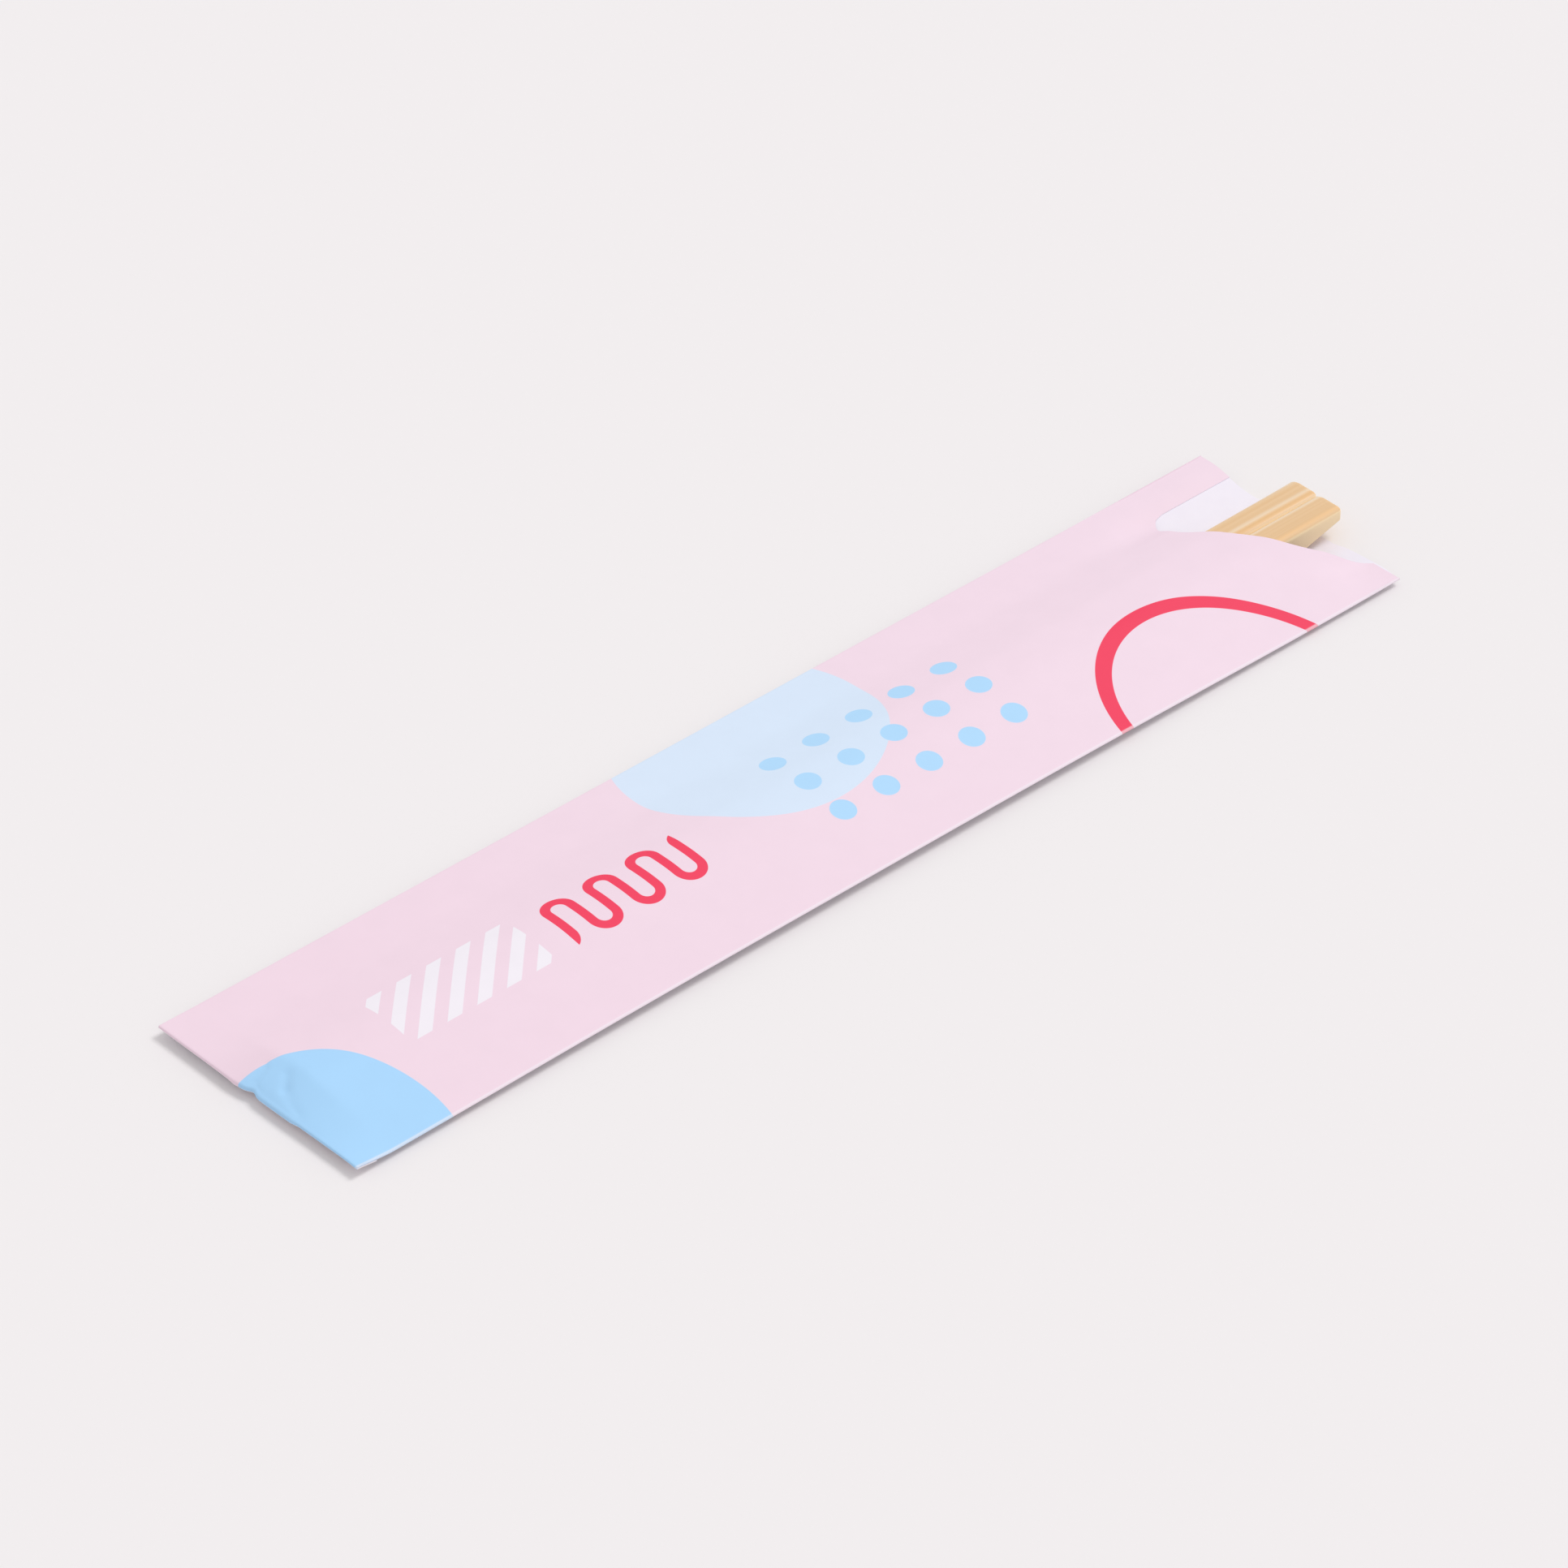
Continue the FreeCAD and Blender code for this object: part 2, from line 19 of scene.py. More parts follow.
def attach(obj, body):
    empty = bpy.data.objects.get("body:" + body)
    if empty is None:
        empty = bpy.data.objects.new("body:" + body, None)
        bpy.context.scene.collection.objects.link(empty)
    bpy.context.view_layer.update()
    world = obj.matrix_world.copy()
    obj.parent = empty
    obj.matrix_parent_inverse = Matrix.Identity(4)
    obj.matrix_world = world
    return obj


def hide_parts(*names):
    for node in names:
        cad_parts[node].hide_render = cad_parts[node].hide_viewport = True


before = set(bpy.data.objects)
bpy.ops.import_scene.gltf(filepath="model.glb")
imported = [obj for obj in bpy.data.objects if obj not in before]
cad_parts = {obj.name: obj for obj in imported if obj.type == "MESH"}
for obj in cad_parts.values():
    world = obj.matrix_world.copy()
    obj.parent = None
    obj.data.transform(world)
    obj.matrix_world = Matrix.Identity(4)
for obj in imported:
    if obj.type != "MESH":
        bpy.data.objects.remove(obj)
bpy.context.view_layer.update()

MM = 0.001
NEAR = 1e-6
LOG = logging.getLogger("chopsticks")

Tree = bpy.types.NodeTree
Socket = bpy.types.NodeSocket
Pair = tuple[float, float]
Triple = tuple[float, float, float]


class Side(Enum):
    """The two sticks, named by where they lie as the camera sees them."""

    BACK = "chopstick_back"
    FRONT = "chopstick_front"


class Face(Enum):
    """The faces of the folded sheet, by their material's index."""

    PRINT = 0
    INSIDE = 1


class Shade(Enum):
    """The colours of bamboo fibre, in sRGB."""

    TAN = "#e7c295"
    HONEY = "#f0c48f"
    CREAM = "#f1dcc0"


class Zone(Enum):
    """The stretches of the folded sheet's section, in order round it."""

    LOW_FRONT = "lower panel from the front fold"
    FRONT_FOLD = "front fold"
    TOP = "upper panel"
    BACK_FOLD = "back fold"
    LOW_BACK = "lower panel from the back fold"


# Colours and nodes


def linear(hex_code: str) -> tuple[float, float, float, float]:
    """Turns an sRGB colour into the linear values that a shader takes.

    Args:
        hex_code: Six hexadecimal digits after a hash sign.

    Returns:
        Red, green, blue and an alpha of 1.
    """
    values = [int(hex_code[i:i + 2], 16) / 255 for i in (1, 3, 5)]
    parts = [v / 12.92 if v <= 0.04045 else ((v + 0.055) / 1.055) ** 2.4 for v in values]
    return (parts[0], parts[1], parts[2], 1.0)


def add(tree: Tree, kind: str, settings: dict, *inputs: object,
        **named: object) -> Socket | bpy.types.Node:
    """Adds a node, sets it and links it.

    Args:
        tree: The node tree.
        kind: The node's type, without the ShaderNode in front.
        settings: Properties of the node and their values.
        inputs: Values or sockets for the node's inputs, in order; None leaves one alone.
        named: Values or sockets for inputs by name, with _ for a space.

    Returns:
        The node's first output, or the node itself if it has none.
    """
    node = tree.nodes.new("ShaderNode" + kind)
    for key, value in settings.items():
        setattr(node, key, value)
    sockets = [(node.inputs[i], value) for i, value in enumerate(inputs)]
    sockets += [(node.inputs[key.replace("_", " ")], value) for key, value in named.items()]
    for socket, value in sockets:
        if isinstance(value, bpy.types.NodeSocket):
            tree.links.new(value, socket)
        elif value is not None:
            socket.default_value = value
    return node.outputs[0] if node.outputs else node


def outputs(tree: Tree, kind: str, *inputs: object) -> Sequence[Socket]:
    """Adds a node with several outputs and returns them all."""
    add(tree, kind, {}, *inputs)
    return tree.nodes[-1].outputs


def maths(tree: Tree, operation: str, *inputs: object) -> Socket:
    """Adds a node that works on numbers and returns its result."""
    return add(tree, "Math", {"operation": operation}, *inputs)


def vectors(tree: Tree, operation: str, *inputs: object, **named: object) -> Socket:
    """Adds a node that works on vectors and returns its vector."""
    return add(tree, "VectorMath", {"operation": operation}, *inputs, **named)


def length(tree: Tree, vector: Socket) -> Socket:
    """Adds a node that measures a vector and returns its length."""
    vectors(tree, "LENGTH", vector)
    return tree.nodes[-1].outputs["Value"]


def noise(tree: Tree, where: Socket, scale: float, detail: float) -> Socket:
    """Adds a cloudy noise and returns its value."""
    return add(tree, "TexNoise", {}, where, None, scale, detail)


def over(tree: Tree, mask: Socket, below: Socket | tuple, colour: str) -> Socket:
    """Lays a colour over another through a mask.

    Args:
        tree: The node tree.
        mask: The mask's socket.
        below: The colour underneath, as a socket or as linear values.
        colour: The sRGB colour on top.

    Returns:
        The mixed colour's socket.
    """
    skipped = [None] * 5
    add(tree, "Mix", {"data_type": "RGBA"}, mask, *skipped, below, linear(colour))
    return tree.nodes[-1].outputs[2]


def inked(tree: Tree, measure: Socket, limit: float, soft: float) -> Socket:
    """Makes a mask that is 1 where a measure is under a limit.

    Args:
        tree: The node tree.
        measure: The socket with the measure.
        limit: Where the ink's edge lies.
        soft: How wide the edge is, in the measure's own unit.

    Returns:
        The mask's socket.
    """
    return add(tree, "MapRange", {"interpolation_type": "SMOOTHSTEP"}, measure,
               limit - soft / 2, limit + soft / 2, 1.0, 0.0)


def surface(tree: Tree, colour: Socket | tuple, roughness: float, **named: object) -> None:
    """Ends a tree with one opaque surface.

    Args:
        tree: The node tree.
        colour: The surface's colour, as a socket or as linear values.
        roughness: Its roughness, from 0 to 1.
        named: Other inputs of the surface, by name.
    """
    shader = add(tree, "BsdfPrincipled", {}, Base_Color=colour, Roughness=roughness, **named)
    add(tree, "OutputMaterial", {}, shader)


def new_material(name: str) -> tuple[bpy.types.Material, Tree]:
    """Makes an empty node material.

    Args:
        name: The real material's name.

    Returns:
        The material and its cleared node tree.
    """
    material = bpy.data.materials.new(name)
    material.use_nodes = True
    material.node_tree.nodes.clear()
    return material, material.node_tree


# Finishes


@dataclass(frozen=True)
class Ellipse:
    """A plain printed shape on the flat sheet, in mm from the tail and from the front fold."""

    along: float
    across: float
    half_long: float
    half_wide: float
    turn: float = 0.0

    def measure(self, tree: Tree, place: Socket) -> Socket:
        """Says how far out a point is: 0 at the middle and 1 on the outline.

        Args:
            tree: The material's tree.
            place: The point on the flat sheet, in mm.

        Returns:
            The socket that holds the measure.
        """
        moved = add(tree, "Mapping", {"vector_type": "TEXTURE"}, place,
                    (self.along, self.across, 0), (0, 0, self.turn),
                    (self.half_long, self.half_wide, 1))
        return length(tree, moved)


@dataclass
class Ink:
    """The print on a flat sheet, over which each shape is laid in turn."""

    tree: Tree
    place: Socket
    soft: float
    colour: Socket

    def lay(self, mask: Socket, colour: str) -> None:
        """Lays an sRGB colour over the print through a mask."""
        self.colour = over(self.tree, mask, self.colour, colour)

    def window(self, middle: Sequence[float], half: Sequence[float]) -> Socket:
        """Makes a mask that is 1 inside a level rectangle.

        Args:
            middle: The rectangle's middle on the flat sheet, in mm.
            half: Half its length and width.

        Returns:
            The mask's socket.
        """
        moved = vectors(self.tree, "SUBTRACT", self.place, (*middle, 0))
        parts = outputs(self.tree, "SeparateXYZ", vectors(self.tree, "ABSOLUTE", moved))
        inside = [inked(self.tree, parts[k], half[k], self.soft) for k in (0, 1)]
        return maths(self.tree, "MULTIPLY", *inside)

    def ellipse(self, shape: Ellipse, colour: str) -> None:
        """Prints a filled ellipse in an sRGB colour."""
        soft = self.soft / min(shape.half_long, shape.half_wide)
        self.lay(inked(self.tree, shape.measure(self.tree, self.place), 1.0, soft), colour)


@dataclass(frozen=True)
class Fibre:
    """The fine fibre relief that both faces of the paper share; its scale is per metre."""

    scale: float = 1800.0
    detail: float = 3.0
    strength: float = 0.12
    height: float = 0.04

    def bump(self, tree: Tree, where: Socket) -> Socket:
        """Adds the relief at a place and returns the surface's direction."""
        fibres = noise(tree, where, self.scale, self.detail)
        return add(tree, "Bump", {}, Height=fibres, Strength=self.strength,
                   Distance=self.height * MM)


@dataclass(frozen=True)
class PrintedPaper:
    """Wood-free paper of about 60 g/m2, printed in flat colours on one side.

    It gives the eye a matt, faintly mottled pink, with crisp fields of colour whose
    edges are a tenth of a millimetre soft, and a narrow near-white line along the
    front fold. The pink is painted a little darker towards the tail, as painted
    shade. Places on the print are in mm from the tail and the front fold, and the
    scales of clouds are per metre.
    """

    name: str = "printed_wood_free_paper"
    pink: str = "#f3dbe9"
    # The darker pink towards the tail is painted shade, for light that falls off along the sleeve.
    tail_shaded_pink: str = "#f2d8e6"
    pale_blue: str = "#d8e7fa"
    sky_blue: str = "#a9d7fd"
    dot_blue: str = "#b0dbfd"
    red: str = "#f23259"
    white: str = "#f4eef6"
    bare: str = "#f6f1f8"
    fold_line_reach: float = 0.32
    fold_line_share: float = 0.5
    printed_middle: Pair = (149.9, 22.0)
    printed_half: Pair = (150.0, 22.35)
    tail_shade_span: Pair = (20.0, 180.0)
    cloud_scale: float = 220.0
    cloud_detail: float = 3.0
    cloud_span: Pair = (0.3, 0.7)
    cloud_shade: float = 0.985
    edge_soft: float = 0.12
    roughness: float = 0.62
    fibre: Fibre = Fibre()
    tail_blob: Ellipse = Ellipse(1.6, 5.0, 17.6, 21.0)
    edge_blob: Ellipse = Ellipse(108.75, 36.2, 22.1, 21.4)
    ring: Ellipse = Ellipse(175.1, -8.1, 25.1, 20.7, math.radians(-69.3))
    ring_stroke: float = 2.45
    dot_radius: float = 2.1
    dot_first: Pair = (106.85, 12.56)
    dot_pitch: Pair = (8.855, 7.83)
    dot_count: tuple[int, int] = (5, 3)
    stripes_middle: Pair = (37.5, 20.5)
    stripes_half: Pair = (14.0, 6.0)
    stripes_pitch: float = 4.05
    stripes_turn: float = math.radians(45)
    snake_middle: Pair = (69.5, 20.0)
    snake_half: float = 12.6
    snake_leg: float = 2.6
    snake_pitch: float = 8.4
    snake_stroke: float = 1.6

    def arc(self, ink: Ink) -> None:
        """Prints the outlined ellipse, of which the sheet's edge leaves an arch.

        Args:
            ink: The print so far.
        """
        tree = ink.tree
        mean = (self.ring.half_long + self.ring.half_wide) / 2
        off = maths(tree, "SUBTRACT", self.ring.measure(tree, ink.place), 1.0)
        line = inked(tree, maths(tree, "ABSOLUTE", off), self.ring_stroke / 2 / mean,
                     self.edge_soft / mean)
        ink.lay(line, self.red)

    def dots(self, ink: Ink) -> None:
        """Prints the field of dots.

        Args:
            ink: The print so far.
        """
        tree, pitch = ink.tree, self.dot_pitch
        middle = [self.dot_first[k] + pitch[k] * (self.dot_count[k] - 1) / 2 for k in (0, 1)]
        half = [pitch[k] * self.dot_count[k] / 2 for k in (0, 1)]
        start = [self.dot_first[k] - pitch[k] / 2 for k in (0, 1)]
        moved = vectors(tree, "SUBTRACT", ink.place, (*start, 0))
        cell = vectors(tree, "MODULO", moved, (*pitch, 1))
        local = vectors(tree, "SUBTRACT", cell, (pitch[0] / 2, pitch[1] / 2, 0))
        spot = inked(tree, length(tree, local), self.dot_radius, self.edge_soft)
        ink.lay(maths(tree, "MULTIPLY", spot, ink.window(middle, half)), self.dot_blue)

    def stripes(self, ink: Ink) -> None:
        """Prints the block of slanting white stripes.

        Args:
            ink: The print so far.
        """
        tree = ink.tree
        turned = add(tree, "Mapping", {}, ink.place, None, (0, 0, self.stripes_turn))
        along = outputs(tree, "SeparateXYZ", turned)[0]
        ramp = maths(tree, "PINGPONG", along, self.stripes_pitch / 2)
        band = inked(tree, ramp, self.stripes_pitch / 4, self.edge_soft)
        window = ink.window(self.stripes_middle, self.stripes_half)
        ink.lay(maths(tree, "MULTIPLY", band, window), self.white)

    def snake(self, ink: Ink) -> None:
        """Prints the red serpentine line: upright legs joined by half rings.

        Args:
            ink: The print so far.
        """
        tree, bend = ink.tree, self.snake_pitch / 4
        start = (self.snake_middle[0] - self.snake_half, self.snake_middle[1], 0)
        parts = outputs(tree, "SeparateXYZ", vectors(tree, "SUBTRACT", ink.place, start))
        along, up = parts[0], parts[1]
        # The half rings below the middle join the legs that those above leave apart.
        lower = maths(tree, "LESS_THAN", up, 0.0)
        shifted = maths(tree, "MULTIPLY_ADD", lower, 2 * bend, along)
        cell = maths(tree, "FLOORED_MODULO", maths(tree, "ADD", shifted, bend), 4 * bend)
        side = maths(tree, "SUBTRACT", cell, 2 * bend)
        past = maths(tree, "SUBTRACT", maths(tree, "ABSOLUTE", up), self.snake_leg)
        spoke = add(tree, "CombineXYZ", {}, side, maths(tree, "MAXIMUM", past, 0.0), 0.0)
        away = maths(tree, "ABSOLUTE", maths(tree, "SUBTRACT", length(tree, spoke), bend))
        line = inked(tree, away, self.snake_stroke / 2, self.edge_soft)
        half = (self.snake_half + self.snake_stroke / 2, self.snake_leg + bend + self.snake_stroke)
        ink.lay(maths(tree, "MULTIPLY", line, ink.window(self.snake_middle, half)), self.red)

    def bare_edges(self, ink: Ink) -> None:
        """Leaves the sheet bare past the print's edges, and pales a narrow line along the front
        fold.

        Args:
            ink: The print so far.
        """
        tree = ink.tree
        away = maths(tree, "ABSOLUTE", outputs(tree, "SeparateXYZ", ink.place)[1])
        # A narrow near-white line laid along the front fold.
        fold_line = maths(tree, "MULTIPLY", inked(tree, away, self.fold_line_reach, self.fold_line_reach),
                     self.fold_line_share)
        printed = ink.window(self.printed_middle, self.printed_half)
        past = maths(tree, "SUBTRACT", 1.0, printed)
        ink.lay(maths(tree, "MAXIMUM", fold_line, past), self.bare)

    def make(self, blank: "Blank") -> bpy.types.Material:
        """Makes the material.

        Args:
            blank: The flat sheet, whose own map the print is drawn on.

        Returns:
            The finished material.
        """
        material, tree = new_material(self.name)
        chart = add(tree, "UVMap", {"uv_map": blank.chart})
        place = add(tree, "Mapping", {}, chart, None, None, (blank.unit, blank.unit, 1))
        where = outputs(tree, "TexCoord")["Object"]
        cloud = noise(tree, where, self.cloud_scale, self.cloud_detail)
        tone = add(tree, "MapRange", {}, cloud, *self.cloud_span, self.cloud_shade, 1.0)
        # Painted shade: the pink is mixed towards the darker tail pink from the mouth back to the
        # tail.
        along = outputs(tree, "SeparateXYZ", place)[0]
        tail_shade = add(tree, "MapRange", {}, along, *self.tail_shade_span, 1.0, 0.0)
        shaded_pinks = over(tree, tail_shade, linear(self.pink), self.tail_shaded_pink)
        ink = Ink(tree, place, self.edge_soft, shaded_pinks)
        self.stripes(ink)
        self.snake(ink)
        ink.ellipse(self.edge_blob, self.pale_blue)
        self.dots(ink)
        ink.ellipse(self.tail_blob, self.sky_blue)
        self.arc(ink)
        self.bare_edges(ink)
        toned = vectors(tree, "SCALE", ink.colour, Scale=tone)
        surface(tree, toned, self.roughness, Normal=self.fibre.bump(tree, where))
        return material


@dataclass(frozen=True)
class PlainPaper:
    """The sheet's unprinted inside: white wood-free paper with a cool brightener.

    It gives the eye a matt white that leans to lavender, with a soft cloudy formation.
    """

    name: str = "plain_wood_free_paper"
    white: str = "#f5f0fa"
    shade: str = "#efe9f5"
    cloud_scale: float = 350.0
    cloud_detail: float = 4.0
    roughness: float = 0.7
    fibre: Fibre = Fibre()

    def make(self) -> bpy.types.Material:
        """Makes the material.

        Returns:
            The finished material.
        """
        material, tree = new_material(self.name)
        where = outputs(tree, "TexCoord")["Object"]
        add(tree, "ValToRGB", {}, noise(tree, where, self.cloud_scale, self.cloud_detail))
        ramp = tree.nodes[-1]
        for stop, colour in zip(ramp.color_ramp.elements, (self.shade, self.white)):
            stop.color = linear(colour)
        surface(tree, ramp.outputs[0], self.roughness, Normal=self.fibre.bump(tree, where))
        return material


@dataclass(frozen=True)
class Bamboo:
    """Planed and tumbled moso bamboo with no lacquer.

    It gives the eye warm tan fibres that run dead straight along the stick, some
    orange, some cream, with a soft satin along them. The stick's sides are painted
    paler than its top: painted light, for the light that falls and bounces onto them.
    """

    name: str = "planed_bamboo"
    # The flank colour is painted light: a pale cream laid on the stick's sides for the light
    # bounced onto them.
    flank: str = "#fee5bb"
    painted_side_light_span: Pair = (0.4, 0.85)
    painted_side_light_most: float = 0.85
    streak: str = "#d9ab74"
    streak_span: Pair = (0.35, 0.7)
    streak_most: float = 0.4
    wander: float = 0.5
    reach: float = 3.0
    strand: float = 0.55
    fine_runs: Triple = (1 / 160, 1.0, 0.6)
    fine_detail: float = 3.0
    broad_runs: Triple = (1 / 500, 1 / 3, 1 / 5)
    broad_detail: float = 2.0
    broad_lean: float = 3.0
    relief: float = 0.25
    relief_height: float = 0.08
    roughness: float = 0.5

    def strands(self, tree: Tree, where: Socket, lean: float, runs: Triple,
                detail: float) -> Socket:
        """Makes a noise drawn out along the stick.

        Args:
            tree: The material's tree.
            where: The point on the stick.
            lean: How far the grain is shifted across, in mm.
            runs: How many turns it has to one strand's width: along, across and up.
            detail: How fine the noise goes.

        Returns:
            The noise's value.
        """
        scale = tuple(run / (self.strand * MM) for run in runs)
        drawn = add(tree, "Mapping", {}, where, (0, lean * MM, 0), None, scale)
        return noise(tree, drawn, 1.0, detail)

    def banded(self, tree: Tree, spot: Socket, bands: Sequence[tuple[float, Shade]]) -> Socket:
        """Colours the stick in bands of fibre across its width.

        Args:
            tree: The material's tree.
            spot: How far across the stick a point is, from 0 to 1 over twice the reach.
            bands: The bands: places from the axis, in mm, and colours.

        Returns:
            The colour's socket.
        """
        add(tree, "ValToRGB", {}, spot)
        ramp = tree.nodes[-1]
        stops = ramp.color_ramp.elements
        stops.remove(stops[1])
        for at, (place, shade) in enumerate(bands):
            position = 0.5 + place / (2 * self.reach)
            stop = stops[0] if at == 0 else stops.new(position)
            stop.position = position
            stop.color = linear(shade.value)
        return ramp.outputs[0]

    def make(self, lean: float, axis: float,
             bands: Sequence[tuple[float, Shade]]) -> bpy.types.Material:
        """Makes the material.

        Args:
            lean: Where this stick's grain is cut, in mm, so that the two differ.
            axis: Where the stick's axis lies across the sleeve, in mm.
            bands: The fibre bands: places from the axis, in mm, and colours.

        Returns:
            The finished material.
        """
        material, tree = new_material(self.name)
        where = outputs(tree, "TexCoord")["Object"]
        grain = self.strands(tree, where, lean, self.fine_runs, self.fine_detail)
        strays = self.strands(tree, where, lean * self.broad_lean, self.broad_runs,
                              self.broad_detail)
        share = 1 / (2 * self.reach)
        off = maths(tree, "MULTIPLY_ADD", outputs(tree, "SeparateXYZ", where)[1], share / MM,
                    0.5 - (axis + self.wander / 2) * share)
        spot = maths(tree, "MULTIPLY_ADD", strays, self.wander * share, off)
        colour = self.banded(tree, spot, bands)
        streaks = add(tree, "MapRange", {}, grain, *self.streak_span, 0.0, self.streak_most)
        colour = over(tree, streaks, colour, self.streak)
        # Painted light: faces that turn away from straight up are painted towards the pale flank
        # colour.
        normal = outputs(tree, "NewGeometry")["Normal"]
        upward = outputs(tree, "SeparateXYZ", normal)["Z"]
        painted_side_light = add(tree, "MapRange", {"interpolation_type": "SMOOTHSTEP"}, upward,
                    *self.painted_side_light_span, self.painted_side_light_most, 0.0)
        colour = over(tree, painted_side_light, colour, self.flank)
        bump = add(tree, "Bump", {}, Height=grain, Strength=self.relief,
                   Distance=self.relief_height * MM)
        surface(tree, colour, self.roughness, Normal=bump)
        return material


# Mesh helpers


def deselect_all() -> None:
    """Leaves nothing selected, so that an operator takes only what comes next."""
    for item in bpy.context.selected_objects:
        item.select_set(False)


@contextmanager
def editing() -> Iterator[None]:
    """Keeps the active object in edit mode while an operator runs.

    Returns:
        What the with statement enters and leaves.
    """
    bpy.ops.object.mode_set(mode="EDIT")
    yield
    bpy.ops.object.mode_set(mode="OBJECT")


def pick(mesh: bpy.types.Mesh, edges: Sequence[bpy.types.MeshEdge] = (),
         faces: Sequence[bpy.types.MeshPolygon] = ()) -> None:
    """Selects some edges or faces of the active object's mesh, and nothing else.

    Args:
        mesh: The mesh, in object mode.
        edges: The edges to select.
        faces: The faces to select.
    """
    bpy.context.tool_settings.mesh_select_mode = (False, not faces, bool(faces))
    for part in (mesh.vertices, mesh.edges, mesh.polygons):
        part.foreach_set("select", np.zeros(len(part), bool))
    for item in (*edges, *faces):
        item.select = True
        for corner in item.vertices:
            mesh.vertices[corner].select = True


def rise(value: np.ndarray) -> np.ndarray:
    """Goes smoothly from 0 to 1 as a value does, level at both ends."""
    share = np.clip(value, 0, 1)
    return share * share * (3 - 2 * share)


def soft_least(one: np.ndarray, other: np.ndarray, blend: float) -> np.ndarray:
    """Takes the lesser of two heights, with a round where they cross.

    Args:
        one: The first height.
        other: The second height.
        blend: How far the heights differ where the round begins.

    Returns:
        The rounded lesser height.
    """
    share = np.clip(0.5 + (other - one) / (2 * blend), 0, 1)
    return other + (one - other) * share - blend * share * (1 - share)


def hump(value: np.ndarray, middle: float, spread: float) -> np.ndarray:
    """Makes a bell of height 1 round a middle."""
    return np.exp(-((value - middle) / spread) ** 2)


@dataclass(frozen=True)
class Blank:
    """The flat sheet's map, whose unit is this many millimetres."""

    chart: str = "flat_blank"
    unit: float = 250.0


@dataclass(frozen=True)
class Crease:
    """A fine furrow in the sheet, from one place to another, in mm from the tail and mid-width."""

    start: Pair
    end: Pair
    spread: float
    depth: float

    def press(self, s: np.ndarray, y: np.ndarray) -> np.ndarray:
        """Says how far the furrow lowers the sheet at each point.

        Args:
            s: Places along the sleeve, in mm from the tail.
            y: Places across it, in mm from mid-width.

        Returns:
            The depths, in mm.
        """
        run = np.subtract(self.end, self.start)
        along = ((s - self.start[0]) * run[0] + (y - self.start[1]) * run[1]) / (run @ run)
        near = np.clip(along, 0, 1)
        off = np.hypot(s - self.start[0] - near * run[0], y - self.start[1] - near * run[1])
        return self.depth * hump(off, 0.0, self.spread)


# The sticks


